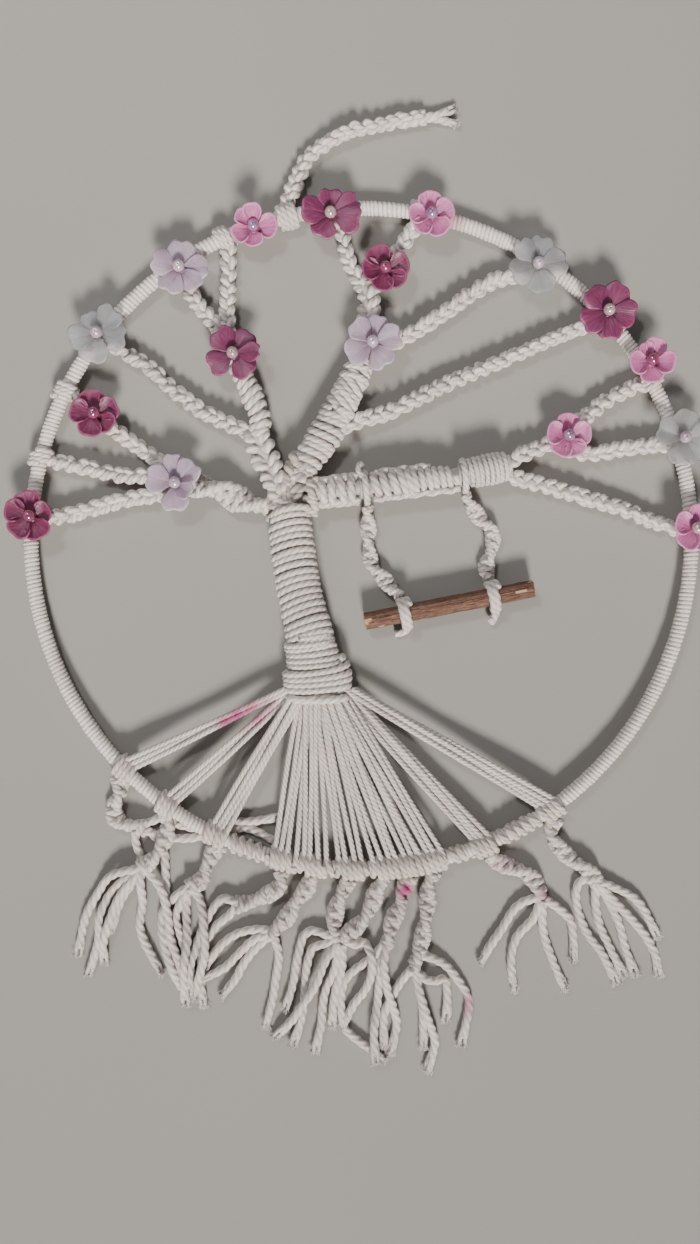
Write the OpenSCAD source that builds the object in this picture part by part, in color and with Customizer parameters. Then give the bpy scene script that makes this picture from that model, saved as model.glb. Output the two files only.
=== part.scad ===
// Macrame tree of life knotted in cotton cord inside a wrapped hoop, lying on its back.
// X points to the right of the tree, Y up the tree, Z out of its face.
// The origin is the hoop's centre, on the surface that the hoop lies on.

/* [Hoop] */
// Radius of the hoop's centreline
hoop_r = 150; // [148:1:152]
// Diameter of the metal wire inside the wrapping
wire_d = 3; // [2:0.5:4]
// Outer diameter of the wrapped hoop
wrap_d = 6.4; // [6:0.1:7]
// Thickness of the cord in the hitches round the hoop
hitch_t = 2.2; // [2:0.1:2.6]

/* [Trunk] */
// Height of the trunk's and limbs' axis above the surface
trunk_z = 8.6; // [8.5:0.1:10]
// Thickness of the trunk's coiled wrapping
trunk_wrap_t = 2.2; // [1.5:0.1:2.6]
// Half the height of the trunk bundle inside its wrapping
core_b = 5.8; // [5:0.1:6]

/* [Swing] */
// Diameter of the bark stick
stick_d = 8.4; // [8:0.1:9]
// Length of the bark stick
stick_l = 78; // [70:1:84]
// Radius of the necks of the right low limb in which the rope loops sit
neck_r = 5.2; // [4.8:0.1:5.3]
// Radius of the cord in the loops
loop_cord_r = 1.6; // [1.4:0.1:1.6]
// Running clearance between a loop and what turns in it
loop_gap = 0.05; // [0.03:0.01:0.1]

/* [Cords] */
// Radius of a loose cord end
strand_r = 2; // [1.8:0.1:2.1]
// Half the width of a root tail's knotted stretch
sennit_r = 3.3; // [3:0.1:3.4]

/* [Flowers] */
// Diameter of a bead centre
bead_d = 5.4; // [5:0.1:6]
// Thickness of a petal
petal_t = 0.8; // [0.6:0.1:1.2]
// Angle by which the petals stand up
petal_tilt = 16; // [10:1:22]

/* [Hidden] */
$fn = 48;
wrap_r = wrap_d / 2;
hitch_r = wrap_r + hitch_t;
hoop_z = hitch_r;
hub_r = 2.8;
hub_h = 1.6;

white = [0.91, 0.89, 0.85];
cream = [0.86, 0.83, 0.78];

// Swing: the limb's axis turns the ropes, the stick's own axis turns the stick.
limb_angle = 6.7;
limb_point = [2, 22.5, trunk_z];
left_loop_s = 0;
right_loop_s = 44.5;
stick_angle = 11;
stick_mid = [39.7, -30.3, 7.4];
left_stick_s = -20;
right_stick_s = 20.5;
loop_r = neck_r + loop_gap + loop_cord_r;
stick_loop_cord_r = 1.5;
stick_loop_r = stick_d / 2 + loop_gap + stick_loop_cord_r;

// Routes. A limb's rows are x, y, z, half its width, half its height.
trunk_core_rows = [
    [-34, 20, trunk_z, 7, core_b], [-32.8, 10, trunk_z, 7.8, core_b],
    [-30.5, -8, trunk_z, 7.9, core_b], [-28, -24, trunk_z, 8, core_b],
    [-24, -41, trunk_z, 8.6, core_b], [-21, -57, trunk_z, 9.6, core_b],
    [-19, -70, trunk_z, 10.6, core_b], [-18.8, -74, trunk_z, 11, core_b - 0.6]];
wrap_first = 1;
wrap_last = 5;
collar_last = 6;
crotch_rows = [
    [-33, 9.5, trunk_z, 9.6, 7.8], [-33, 14, trunk_z, 10.2, 8],
    [-32, 20, trunk_z, 9.6, 7.6], [-31, 27, trunk_z, 7, 6.4]];
limb_left_low_rows = [
    [-36, 13, 8, 4.6, 4.6], [-45, 14.5, 7, 4.4, 4.4], [-55, 17.5, 6.6, 5.6, 4.8],
    [-66, 22, 6.2, 6, 4.8], [-77, 24.5, 5.8, 5, 4.4], [-87, 25.5, 5.4, 4.2, 4]];
limb_left_high_rows = [
    [-33, 18, trunk_z, 5, 5], [-38, 26, 8.2, 5.8, 5.4], [-43, 35, 7.8, 6.6, 5.6],
    [-47, 45, 7.4, 6.2, 5.4], [-47, 50, 7.2, 5, 4.8]];
limb_left_top_rows = [
    [-46, 46, 7.2, 4.6, 4.6], [-46, 55, 7, 5.2, 4.8], [-50, 66, 6.6, 5.4, 4.8],
    [-55.5, 77, 6.2, 5, 4.6], [-60, 90, 5.8, 4.6, 4.2], [-61, 94, 5.6, 3.8, 3.8]];
limb_right_high_rows = [
    [-31, 22, trunk_z, 6, 5.6], [-25, 33, trunk_z, 7, 6.2], [-16, 47, 8.4, 8, 6.4],
    [-8, 62, 8, 7.2, 6], [-2, 75, 7.2, 6.6, 5.4], [2, 87, 6.4, 5.2, 4.8]];
limb_right_top_rows = [
    [2, 85, 6.4, 4.6, 4.6], [3, 96, 6.2, 5.6, 4.8], [3.5, 107, 6, 5.4, 4.6],
    [2.5, 116, 5.6, 4.8, 4.2]];
// The right low limb is turned about the swing's axis: distance along it, radius.
limb_right_low_profile = [
    [-26, 0], [-26, 5.6], [-21, 6.6], [-3, 6.8], [-2.1, neck_r], [2.1, neck_r],
    [3, 7.2], [20, 6.8], [34, 5.9], [42.4, 5.6], [42.4, neck_r], [46.6, neck_r],
    [46.6, 5.6], [50, 5.6], [50, 0]];
knot_mid = [57.4, 30.8, trunk_z];
knot_angle = 11;
knot_l = 18.2;
knot_r = 7;

// Twigs: name, angle of its hitch on the hoop, rows of x, y, z. The last point is worked out.
twig_r = 3.7;
twigs = [
    ["twig_left_low_upper", 153.7,
        [[-81, 26.5, 5.6], [-90, 33.5, 5.2], [-101, 41.5, 4.8], [-120, 55, 4.6]]],
    ["twig_left_low_middle", 165.9,
        [[-84, 26.5, 5.6], [-94, 28.5, 5.2], [-108, 28.5, 4.8], [-124, 32, 4.6]]],
    ["twig_left_low_lower", 176.4,
        [[-84, 23, 5.6], [-92, 19.5, 5.2], [-103, 18.5, 4.8], [-119, 14.5, 4.6], [-134, 10.5, 4.6]]],
    ["twig_left_high_side", 142.3,
        [[-48, 47, 7.4], [-55, 49.5, 6.4], [-73, 58.5, 5], [-87, 69, 4.6], [-96, 77.5, 4.6]]],
    ["twig_left_high_fork", 123.2,
        [[-61, 90, 5.6], [-67, 98, 5], [-73, 105, 4.8], [-78, 113, 4.6]]],
    ["twig_left_high_tip", 114.6,
        [[-60, 92, 5.6], [-61, 104, 5], [-60.5, 117, 4.8], [-60.5, 127, 4.6]]],
    ["twig_right_high_side", 42.5,
        [[-12, 48.5, 8.2], [-3, 52.5, 7], [15, 58.5, 5.4], [35, 68.5, 5], [56, 77.5, 4.8],
         [76, 86, 4.6], [91, 92.5, 4.6]]],
    ["twig_right_high_fork", 57.1,
        [[4, 84, 6.2], [14, 88.5, 5.6], [25, 94.5, 5.2], [36, 101.5, 5], [48, 110, 4.8],
         [60, 117, 4.6]]],
    ["twig_right_top_left", 93.8,
        [[1.5, 113, 5.6], [-4.5, 123, 5], [-7, 131, 4.8], [-8.5, 138, 4.6]]],
    ["twig_right_top_right", 79.8,
        [[4, 112, 5.6], [10.5, 121, 5], [15, 128, 4.8], [19.5, 135, 4.6]]],
    ["twig_right_low_upper", 28.8,
        [[64, 33, 8], [75, 38.5, 6.4], [85, 43, 5.6], [93, 48, 5], [101, 54.5, 4.8],
         [112, 63, 4.6], [122, 68, 4.6]]],
    ["twig_right_low_middle", 17.1,
        [[87, 43, 5.4], [95, 40.5, 5], [105, 38.5, 4.8], [119, 41, 4.6], [132, 42.5, 4.6]]],
    ["twig_right_low_lower", 1.5,
        [[64, 30, 8], [72, 27, 6.2], [82, 24.5, 5.2], [99, 19.5, 4.8], [119, 13.5, 4.6],
         [135, 7, 4.6]]]];
hanger_angle = 102.9;
hanger_rows = [
    [-34.5, 150.6, 6, 3.6, 3.6], [-32, 157, 4.6, 4, 3.8], [-29, 164, 4.2, 4, 3.8],
    [-25.5, 172, 4.2, 3.7, 3.6], [-18.5, 178.5, 4.2, 3.7, 3.6], [-11, 183, 4.4, 4.4, 4],
    [-2, 186.5, 4.4, 4.4, 4], [8.5, 188.5, 4.2, 3.3, 3.4], [19, 190.5, 4.2, 3.6, 3.6],
    [29, 192, 4, 3.3, 3.4]];
hanger_ends = [
    [[27, 192, 3.6], [34, 193.5, 3], [40, 196, 2.4]],
    [[27, 191.5, 3.6], [34, 192, 2.6], [40, 190.5, 2.2]]];

// Root fan: angle of each bundle's hitch, then x and z of its start at the foot.
root_bundles = [
    [224.4, -29, 9], [234.1, -27, 7], [244, -25, 10], [256.3, -23, 7.5], [261.7, -21, 10],
    [268.1, -19, 7], [274.3, -17, 10], [278.4, -15, 7.5], [282.5, -13, 10],
    [291.7, -11, 7], [304.9, -8.5, 9.5]];
bundle_y = -71;
bundle_a = 4.4;
bundle_b = 1.4;
root_hitch_w = 3.3;

// Root tails: the knotted stretch, then its loose ends, as x, y, z. The first point of the
// knotted stretch is worked out from its hitch.
root_tails = [
    [[[-109.5, -115, 4], [-113, -122, 3.6], [-111.5, -128, 3.6], [-105.5, -131, 3.6],
      [-98.5, -132, 3.6]],
     [[-99, -131, 3], [-92, -128, 2.2], [-84, -130.5, 2.2], [-72, -132.5, 2.2],
      [-58, -130, 2.2], [-50, -129.5, 2.2], [-39, -127.5, 2.2]],
     [[-99, -133, 3], [-90, -136.5, 2.2], [-80, -137, 2.2], [-66, -134.5, 2.2],
      [-52, -132.5, 2.2], [-40, -137.5, 2.2]],
     [[-103, -133, 3], [-103, -140, 2.2], [-101, -147, 2.2], [-104, -156, 2.2],
      [-110, -166, 2.2], [-114, -176, 2.2]],
     [[-98, -133, 3], [-93, -138, 2.2], [-90, -144, 2.2], [-89, -160, 2.2], [-89.5, -172, 2.2],
      [-86, -186, 2.2], [-83, -198, 2.2]]],
    [[[-88.5, -128, 4.6], [-88.5, -134, 5.4], [-91, -141, 5.4], [-96, -147, 5.4],
      [-100.5, -150, 4.6]],
     [[-99, -149.5, 4.6], [-108, -151.5, 6], [-115.5, -155, 4], [-121, -163, 2.2],
      [-126, -173, 2.2], [-129, -187, 2.2]],
     [[-100, -150, 4.6], [-109, -156, 5], [-115.5, -163.5, 2.4], [-119.5, -173, 4.4],
      [-119.5, -184, 4.4], [-124, -196, 2.2]],
     [[-100, -151, 4.6], [-106, -157, 6.2], [-111.5, -165, 6.2], [-115, -175, 6.4],
      [-117.5, -184, 5.4], [-118, -191, 2.6]],
     [[-100.5, -150.5, 4.6], [-100.5, -157, 5], [-100, -166, 2.2], [-101, -177, 2.2],
      [-98, -186, 2.2], [-93.5, -196, 2.2]],
     [[-99, -150, 4.6], [-94, -154.5, 5.6], [-90, -161, 6.2], [-87.5, -170.5, 6.2],
      [-86, -184, 5.6], [-81, -198, 5.6]]],
    [[[-67, -142, 4], [-70.5, -150, 3.6], [-73, -156, 3.6], [-79, -159, 3.6]],
     [[-78, -158.5, 3.6], [-84, -162.5, 3], [-91, -171.5, 2.6], [-90, -184, 5],
      [-86.5, -194, 6], [-82, -205, 4]],
     [[-78.5, -159, 3.6], [-82.5, -165.5, 3.4], [-85, -173, 3], [-82, -184, 2.6],
      [-78.5, -195, 2.2], [-76, -207, 2.2]],
     [[-78, -158.5, 3.6], [-73.5, -165, 3], [-71.5, -175, 6], [-71, -185, 6.4],
      [-72.5, -195, 6], [-75, -206, 4]],
     [[-79, -159.5, 3.6], [-80, -170, 3], [-79, -182, 5.6], [-80, -194, 8],
      [-80, -209, 5]]],
    [[[-36, -157, 4], [-42, -162, 3.6], [-50, -165.5, 3.6], [-57, -167, 3.6]],
     [[-56, -166.5, 3.6], [-63, -164.5, 3], [-68.5, -170, 2.4], [-74, -181, 2.2],
      [-77.5, -194, 5.4], [-78, -204, 5.6]],
     [[-56.5, -167.5, 3.6], [-60, -172, 2.6], [-67, -178, 2.2], [-73, -187, 2.2],
      [-73.5, -198, 2.2], [-72.5, -210, 2.2]]],
    [[[-25, -160, 4], [-30, -166, 3.6], [-34, -173, 3.6], [-41, -180.5, 3.6]],
     [[-40, -179, 3.6], [-47, -178.5, 2.8], [-56, -180.5, 2.2], [-63, -185, 2.2],
      [-70, -193, 2.2]],
     [[-40.5, -180, 3.6], [-48, -182.5, 3.4], [-55.5, -189.5, 2.6], [-62, -196, 2.2],
      [-71, -200.5, 2.2]],
     [[-41, -181, 3.6], [-48, -187, 3], [-54, -194.5, 2.2], [-57.5, -201, 2.2],
      [-62, -206, 2.2]],
     [[-40, -181, 3.6], [-38, -188.5, 2.4], [-38.5, -198, 2.2], [-40, -209, 2.2],
      [-43, -220, 2.2]]],
    [[[-8.5, -161.5, 4], [-11.5, -169, 3.6], [-12, -176, 3.6], [-10.5, -183, 3.8]],
     [[-11, -182, 4], [-16, -180.5, 3.6], [-22, -179, 2.4], [-26.5, -182, 2.2],
      [-29, -190, 2.2], [-30.5, -201, 2.2], [-33.5, -212, 2.2]],
     [[-11, -183, 4], [-17, -185, 3.4], [-22, -187, 2.4], [-25, -195, 2.2],
      [-26, -206, 2.2], [-27, -218, 2.2], [-30, -228, 2.2]],
     [[-11, -184, 4], [-15.5, -191, 5.4], [-20.5, -202, 6.2], [-26, -211, 6.2],
      [-31, -218.5, 4.4], [-37, -225, 2.2]],
     [[-10.5, -184, 4], [-12, -196, 2.6], [-16, -206, 2.2], [-17.5, -214, 2.2],
      [-18, -222, 2.2], [-20, -231, 2.2]]],
    [[[7, -160, 4], [5, -167, 3.6], [0, -175, 3.6], [-5, -179.5, 3.6], [-9.5, -183.5, 4.4]],
     [[-7.5, -183, 4.4], [-2.5, -185, 4.4], [1.5, -184.5, 3], [4.5, -190, 6],
      [4.5, -198, 6.2], [1.5, -206, 4.4], [-3, -212.5, 2.2], [-7, -220, 2.2]],
     [[-9, -184.5, 4.4], [-9, -196, 2.6], [-12, -208, 2.2], [-13, -220, 2.2]]],
    [[[19.5, -160, 4], [18, -167, 3.6], [14.5, -174, 3.6], [13, -180, 3.6], [11.5, -186, 3.6]],
     [[11, -185, 3.6], [8.5, -194, 2.4], [8, -203, 2.2], [7.5, -213, 2.2], [6, -223, 5],
      [6.5, -234, 6]],
     [[11.5, -185, 3.6], [10.5, -193, 6.2], [12, -204, 6.2], [14.5, -213, 4],
      [16.5, -222, 2.2], [14.5, -232, 2.2]],
     [[10.5, -185, 3.6], [5, -191.5, 2.4], [-4, -198.5, 2.2], [-8.5, -205, 2.2],
      [-9.5, -213, 2.2], [-8, -223, 2.2], [-2, -229, 2.2], [8, -236, 2.2]]],
    [[[30.4, -160, 4], [30.4, -168, 3.6], [29, -176, 3.6], [27.5, -184, 3.6],
      [26, -190, 4], [23.5, -195, 4.4]],
     [[26.5, -190, 4.6], [33, -192, 3.2], [39, -195.5, 2.2], [45, -202.5, 2.2],
      [49, -212, 2.2], [46.5, -228, 2.2]],
     [[24, -195, 4.4], [27, -199.5, 4.4], [33, -202, 2.6], [38, -201.5, 2.4],
      [39.5, -207, 2.2], [39, -217, 2.2]],
     [[24, -196, 4.4], [26.5, -207, 5.6], [29.5, -216.5, 6], [32.5, -225, 4], [33.5, -231, 2.4],
      [31, -240, 2.2]],
     [[24.5, -196, 4.4], [27, -207, 2.2], [28, -217, 2.2], [28, -229, 2.2]],
     [[23, -196, 4.4], [18.5, -202.5, 2.4], [14, -210, 2.2], [10.5, -218, 2.2],
      [10.5, -228, 2.2]]],
    [[[61.5, -147, 4.2], [67.5, -149.5, 3.6], [74, -152, 3.6], [79.5, -156.5, 3.6],
      [83, -163, 3.6]],
     [[82, -164, 3.4], [75, -166, 2.6], [69, -171, 2.2], [62.5, -181, 2.2], [56.5, -190, 2.2]],
     [[82, -165, 3.4], [78.5, -173.5, 2.6], [71.5, -182, 2.2], [69, -191, 2.2],
      [69.5, -203, 2.2]],
     [[83, -165, 3.4], [83, -175, 2.6], [84.5, -184, 2.2], [88, -193, 2.2], [92, -202, 2.2]],
     [[83.5, -164.5, 3.4], [90, -169, 2.6], [95.5, -174.5, 2.2], [97, -182, 2.2],
      [97.5, -189, 2.2]]],
    [[[86.5, -134.5, 4.2], [91, -141.5, 3.6], [97, -147, 3.6], [103, -151, 3.6],
      [107.5, -156.5, 3.6]],
     [[106, -153.5, 3.2], [99.5, -157.5, 2.4], [98, -164, 2.2], [100.5, -174, 2.2],
      [104.5, -182, 2.2], [110, -189.5, 2.2], [115, -200, 2.2]],
     [[107, -156.5, 3.6], [107, -166, 2.6], [109, -176, 2.2], [113.5, -186, 2.2],
      [118.5, -197, 2.2]],
     [[108, -157, 3.6], [113.5, -166.5, 2.4], [118, -176, 2.2], [120.5, -186, 2.2],
      [124, -196, 2.2]],
     [[108.5, -157, 3.6], [115.5, -165, 3.4], [123, -173.5, 2.6], [130, -181.5, 2.2],
      [134, -189, 2.2], [136, -196, 2.2]],
     [[107.5, -156, 3.6], [116, -159, 2.8], [124, -163.5, 2.2], [129.5, -170, 2.2],
      [134, -179, 2.2]]]];

// Swing ropes: from the loop round the limb to the loop round the stick.
rope_left = [
    [2.9, 14.8, 8.2, 2.2, 2.2], [3.2, 10, 5, 3.2, 3.2], [3.3, 2, 3.6, 3.3, 3.3],
    [3.6, -6, 3.6, 3.2, 3.2], [5.5, -13, 3.6, 3.2, 3.2], [10.5, -18.5, 3.8, 3.4, 3.4],
    [15, -24, 4.8, 3.4, 3.4], [18.4, -27.2, 7.2, 2.4, 2.4]];
rope_right = [
    [47, 19.9, 8.2, 2.2, 2.2], [49.6, 15.5, 5.6, 3.2, 3.2], [54, 9.5, 3.8, 3.3, 3.3],
    [59.5, 3.5, 3.6, 3.3, 3.3], [59.8, -4, 3.6, 3.2, 3.2], [57.2, -11, 3.6, 3.3, 3.3],
    [57.4, -16.5, 4.6, 3.3, 3.3], [58.4, -19.5, 7.2, 2.4, 2.4]];

// Flowers: x, y, outer radius, base height. Beads follow the same lists.
flowers_dark_large = [[-13.8, 144.4, 13.6, 10.4], [110.3, 101.1, 13, 10.4],
    [-57.5, 82, 12.5, 10.2]];
flowers_dark_small = [[10.8, 120.7, 10.7, 8.6], [-119.9, 55.7, 10.9, 8],
    [-147.9, 9.3, 11.4, 10.4]];
flowers_light_small = [[-48.4, 139.5, 10.3, 8.4], [31.4, 144.1, 10.2, 10.2],
    [129.8, 78.9, 10.2, 10.2], [93, 45.7, 10.2, 8.2], [149.6, 3.9, 10.7, 10.4]];
flowers_clear = [[78.9, 122, 13.2, 10.2], [-118, 91.1, 13.2, 10.4], [144.2, 44.3, 12.7, 10.4]];
flowers_lilac = [[-81.5, 120.7, 12.7, 10], [5, 87, 12.7, 10.4], [-83.3, 24.3, 13, 9.4]];
pearl_beads = [flowers_dark_large[0], flowers_dark_large[1], flowers_dark_large[2],
    flowers_lilac[0], flowers_lilac[1], flowers_light_small[4]];
pink_beads = [flowers_dark_small[0], flowers_dark_small[1], flowers_dark_small[2],
    flowers_light_small[2], flowers_clear[1], flowers_clear[2]];
purple_beads = [flowers_light_small[0], flowers_light_small[1], flowers_light_small[3],
    flowers_lilac[2], flowers_clear[0]];

tail_names = [for (i = [1:len(root_tails)]) str("root_tail_", i)];

// Vector helpers and the sweep of an ellipse along a route.
function unit(v) = v / norm(v);
function xyz(row) = [row[0], row[1], row[2]];
function on_hoop(r, a, z) = [r * cos(a), r * sin(a), z];
function spline(a, b, c, d, t) =
    (2 * b + (c - a) * t + (2 * a - 5 * b + 4 * c - d) * t * t
     + (3 * b - a - 3 * c + d) * t * t * t) / 2;
function smooth(rows, steps) = [
    for (i = [0:len(rows) - 2], s = [0:steps - 1])
        spline(rows[max(i - 1, 0)], rows[i], rows[i + 1], rows[min(i + 2, len(rows) - 1)],
               s / steps),
    rows[len(rows) - 1]];
function along(rows, i) =
    unit(xyz(rows[min(i + 1, len(rows) - 1)]) - xyz(rows[max(i - 1, 0)]));
function ring(row, t, n) =
    let(side = unit(cross(t, [0, 0, 1])), top = cross(side, t))
    [for (k = [0:n - 1])
        xyz(row) + side * row[3] * cos(360 * k / n) + top * row[4] * sin(360 * k / n)];

// Mesh of an elliptical tube: its rings of points, its walls, and its two end caps.
function rings(path, n) = [for (i = [0:len(path) - 1]) each ring(path[i], along(path, i), n)];
function walls(count, n, first = 0, out = true) = [
    for (i = [0:count - 2], k = [0:n - 1])
        let(a = first + i * n, b = a + n, m = (k + 1) % n)
        out ? [a + k, b + k, b + m, a + m] : [a + m, b + m, b + k, a + k]];
function caps(count, n, first = 0) = [
    [for (k = [0:n - 1]) first + k],
    [for (k = [n - 1:-1:0]) first + (count - 1) * n + k]];
function rim(n, a, b) = [for (k = [0:n - 1]) let(m = (k + 1) % n) [a + k, a + m, b + m, b + k]];
function rings_before(paths, i) = i == 0 ? 0 : len(paths[i - 1]) + rings_before(paths, i - 1);
function thicker(row, t) = [row[0], row[1], row[2], row[3] + t, row[4] + min(t, 2.4)];
function round_rows(route, r) = [for (p = route) [p[0], p[1], p[2], r, r]];

// Solid tubes of elliptical section, each along its own path.
module tubes(paths, n) {
    points = [for (path = paths) each rings(path, n)];
    faces = [for (i = [0:len(paths) - 1])
        let(first = n * rings_before(paths, i), count = len(paths[i]))
        each concat(caps(count, n, first), walls(count, n, first))];
    polyhedron(points, faces, convexity = 6);
}

// Solid tube along rows of x, y, z, half width, half height.
module tube(rows, n = 12, steps = 2) {
    tubes([smooth(rows, steps)], n);
}

// Shell between an outer and an inner set of rows that end at the same places.
module shell(outer, inner, n = 12) {
    outside = smooth(outer, 2);
    inside = smooth(inner, 2);
    count = len(outside);
    half = count * n;
    faces = concat(walls(count, n), walls(count, n, half, false), rim(n, 0, half),
                   rim(n, 2 * half - n, half - n));
    polyhedron(concat(rings(outside, n), rings(inside, n)), faces, convexity = 6);
}

// Ring that lies round an axis along X.
module loop(r, cord_r) {
    rotate([0, 90, 0]) rotate_extrude() translate([r, 0]) circle(r = cord_r);
}

// Short sleeve of hitched cord round the wrapped hoop.
module hitch(angle, half_width) {
    rotate([0, 0, angle - half_width]) translate([0, 0, hoop_z])
        rotate_extrude(angle = 2 * half_width) translate([hoop_r, 0]) difference() {
            circle(r = hitch_r);
            circle(r = wrap_r);
        }
}

module hoop_ring() {
    color("silver") translate([0, 0, hoop_z])
        rotate_extrude($fn = 96) translate([hoop_r, 0]) circle(d = wire_d);
}

module hoop_wrap() {
    color(white) translate([0, 0, hoop_z])
        rotate_extrude($fn = 96) translate([hoop_r, 0]) difference() {
            circle(d = wrap_d);
            circle(d = wire_d);
        }
}

module twig_hitches() {
    color(cream) {
        for (t = twigs) hitch(t[1], 1.3);
        hitch(hanger_angle, 1.5);
    }
}

module root_hitches() {
    color(cream) for (b = root_bundles) hitch(b[0], root_hitch_w / 2);
}

module trunk_core() {
    color(cream) tube(trunk_core_rows);
}

module trunk_wrap() {
    inner = [for (i = [wrap_first:wrap_last]) trunk_core_rows[i]];
    color(white) shell([for (p = inner) thicker(p, trunk_wrap_t)], inner);
}

module foot_collar() {
    inner = [for (i = [wrap_last:collar_last]) trunk_core_rows[i]];
    middle = (inner[0] + inner[1]) / 2;
    color(white) shell([thicker(inner[0], 2.6), thicker(middle, 4.6), thicker(inner[1], 2.4)],
                       [inner[0], middle, inner[1]]);
}

module crotch_knot() {
    color(cream) tube(crotch_rows);
}

module limb_left_low() {
    color(white) tube(limb_left_low_rows);
}

module limb_left_high() {
    color(white) tube(limb_left_high_rows);
}

module limb_left_top() {
    color(white) tube(limb_left_top_rows);
}

module limb_right_high() {
    color(white) tube(limb_right_high_rows);
}

module limb_right_top() {
    color(white) tube(limb_right_top_rows);
}

module limb_right_low() {
    color(white) translate(limb_point) rotate([0, 0, limb_angle]) rotate([0, 90, 0])
        rotate_extrude() polygon([for (p = limb_right_low_profile) [p[1], p[0]]]);
}

module limb_right_knot() {
    color(cream) translate(knot_mid) rotate([0, 0, knot_angle]) rotate([0, 90, 0])
        cylinder(r = knot_r, h = knot_l, center = true);
}

module twig(t) {
    route = concat(t[2], [on_hoop(hoop_r - wrap_r - 1, t[1], 4.6)]);
    color(white) tube(round_rows(route, twig_r), 10, 1);
}

module root_fan() {
    color(white) tubes([for (b = root_bundles)
        let(end = on_hoop(hoop_r - 2.9, b[0], hoop_z + 3.2), start = [b[1], bundle_y, b[2]],
            middle = (start + end) / 2)
        [concat(start, [2.6, bundle_b]), concat(middle, [bundle_a, bundle_b]),
         concat(end, [bundle_a, bundle_b])]], 8);
}

module root_tail(i) {
    tail = root_tails[i];
    start = on_hoop(hoop_r + wrap_r + 1.4, root_bundles[i][0], hoop_z - 1);
    color(white) tubes(concat(
        [round_rows(concat([start], tail[0]), sennit_r)],
        [for (k = [1:len(tail) - 1]) round_rows(tail[k], strand_r)]), 8);
}

module hanger() {
    color(white) tubes(concat([hanger_rows], [for (e = hanger_ends) round_rows(e, strand_r)]), 8);
}

module swing_limb_loops() {
    color(cream) translate(limb_point) rotate([0, 0, limb_angle])
        for (s = [left_loop_s, right_loop_s]) translate([s, 0, 0]) loop(loop_r, loop_cord_r);
}

module swing_stick_loops() {
    color(cream) translate(stick_mid) rotate([0, 0, stick_angle])
        for (s = [left_stick_s, right_stick_s]) translate([s, 0, 0])
            loop(stick_loop_r, stick_loop_cord_r);
}

module swing_rope_left() {
    color(white) tube(rope_left, 10, 1);
}

module swing_rope_right() {
    color(white) tube(rope_right, 10, 1);
}

module swing_stick() {
    color("sienna") translate(stick_mid) rotate([0, 0, stick_angle]) rotate([0, 90, 0])
        cylinder(d = stick_d, h = stick_l, center = true);
}

// Five tilted petals round a hub; f is x, y, outer radius, base height.
module flower(f) {
    petal_r = 0.4 * f[2];
    petal_at = f[2] - petal_r;
    translate([f[0], f[1], f[3]]) {
        cylinder(r = hub_r, h = hub_h);
        for (i = [0:4]) rotate([0, 0, 90 + 72 * i]) translate([hub_r * 0.6, 0, hub_h * 0.4])
            rotate([0, -petal_tilt, 0]) translate([petal_at - hub_r * 0.6, 0, 0])
                cylinder(r = petal_r, h = petal_t);
    }
}

// Bead that rests on a flower's hub.
module bead(f) {
    translate([f[0], f[1], f[3] + hub_h + bead_d / 2]) sphere(d = bead_d);
}

module flower_group(flowers, tint) {
    color(tint) for (f = flowers) flower(f);
}

module bead_group(flowers, tint) {
    color(tint) for (f = flowers) bead(f);
}

hoop_ring();
hoop_wrap();
twig_hitches();
root_hitches();
trunk_core();
trunk_wrap();
foot_collar();
crotch_knot();
limb_left_low();
limb_left_high();
limb_left_top();
limb_right_high();
limb_right_top();
limb_right_low();
limb_right_knot();
for (t = twigs) twig(t);
root_fan();
for (i = [0:len(root_tails) - 1]) root_tail(i);
hanger();
swing_limb_loops();
swing_rope_left();
swing_rope_right();
swing_stick_loops();
swing_stick();
flower_group(flowers_dark_large, [0.6, 0.33, 0.47]);
flower_group(flowers_dark_small, [0.72, 0.36, 0.52]);
flower_group(flowers_light_small, [0.84, 0.56, 0.71]);
flower_group(flowers_clear, [0.78, 0.78, 0.8]);
flower_group(flowers_lilac, [0.72, 0.67, 0.75]);
bead_group(pearl_beads, [0.93, 0.89, 0.88]);  // beads_pearl
bead_group(pink_beads, [0.75, 0.52, 0.6]);  // beads_pink
bead_group(purple_beads, [0.5, 0.36, 0.5]);  // beads_purple
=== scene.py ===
import math

import bpy
import numpy as np
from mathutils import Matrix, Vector, noise


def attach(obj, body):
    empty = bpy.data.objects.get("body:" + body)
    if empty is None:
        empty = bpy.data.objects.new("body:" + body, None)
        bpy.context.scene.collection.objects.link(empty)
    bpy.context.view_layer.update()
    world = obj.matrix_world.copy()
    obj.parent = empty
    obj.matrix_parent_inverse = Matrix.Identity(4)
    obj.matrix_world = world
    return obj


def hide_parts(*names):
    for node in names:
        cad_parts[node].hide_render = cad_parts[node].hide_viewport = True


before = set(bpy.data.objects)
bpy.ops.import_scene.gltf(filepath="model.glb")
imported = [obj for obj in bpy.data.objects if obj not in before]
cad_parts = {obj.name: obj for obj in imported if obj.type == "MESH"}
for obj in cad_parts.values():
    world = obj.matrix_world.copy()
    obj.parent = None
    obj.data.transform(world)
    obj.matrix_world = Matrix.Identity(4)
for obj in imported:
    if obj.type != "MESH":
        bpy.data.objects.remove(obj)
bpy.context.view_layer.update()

# Routes and sizes are in millimetres, as the CAD part has them. Meshes are made in metres.
MM = 0.001
HOOP_R, WRAP_R, HITCH_T = 150.0, 3.2, 2.2
HOOP_Z = WRAP_R + HITCH_T
LIMB_POINT, LIMB_ANGLE = np.array([2.0, 22.5, 8.6]), 6.7
KNOT_MID, KNOT_ANGLE = np.array([57.4, 30.8, 8.6]), 11.0
NECK_R, LOOP_GAP, LOOP_CORD_R = 5.2, 0.05, 1.6
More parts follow.
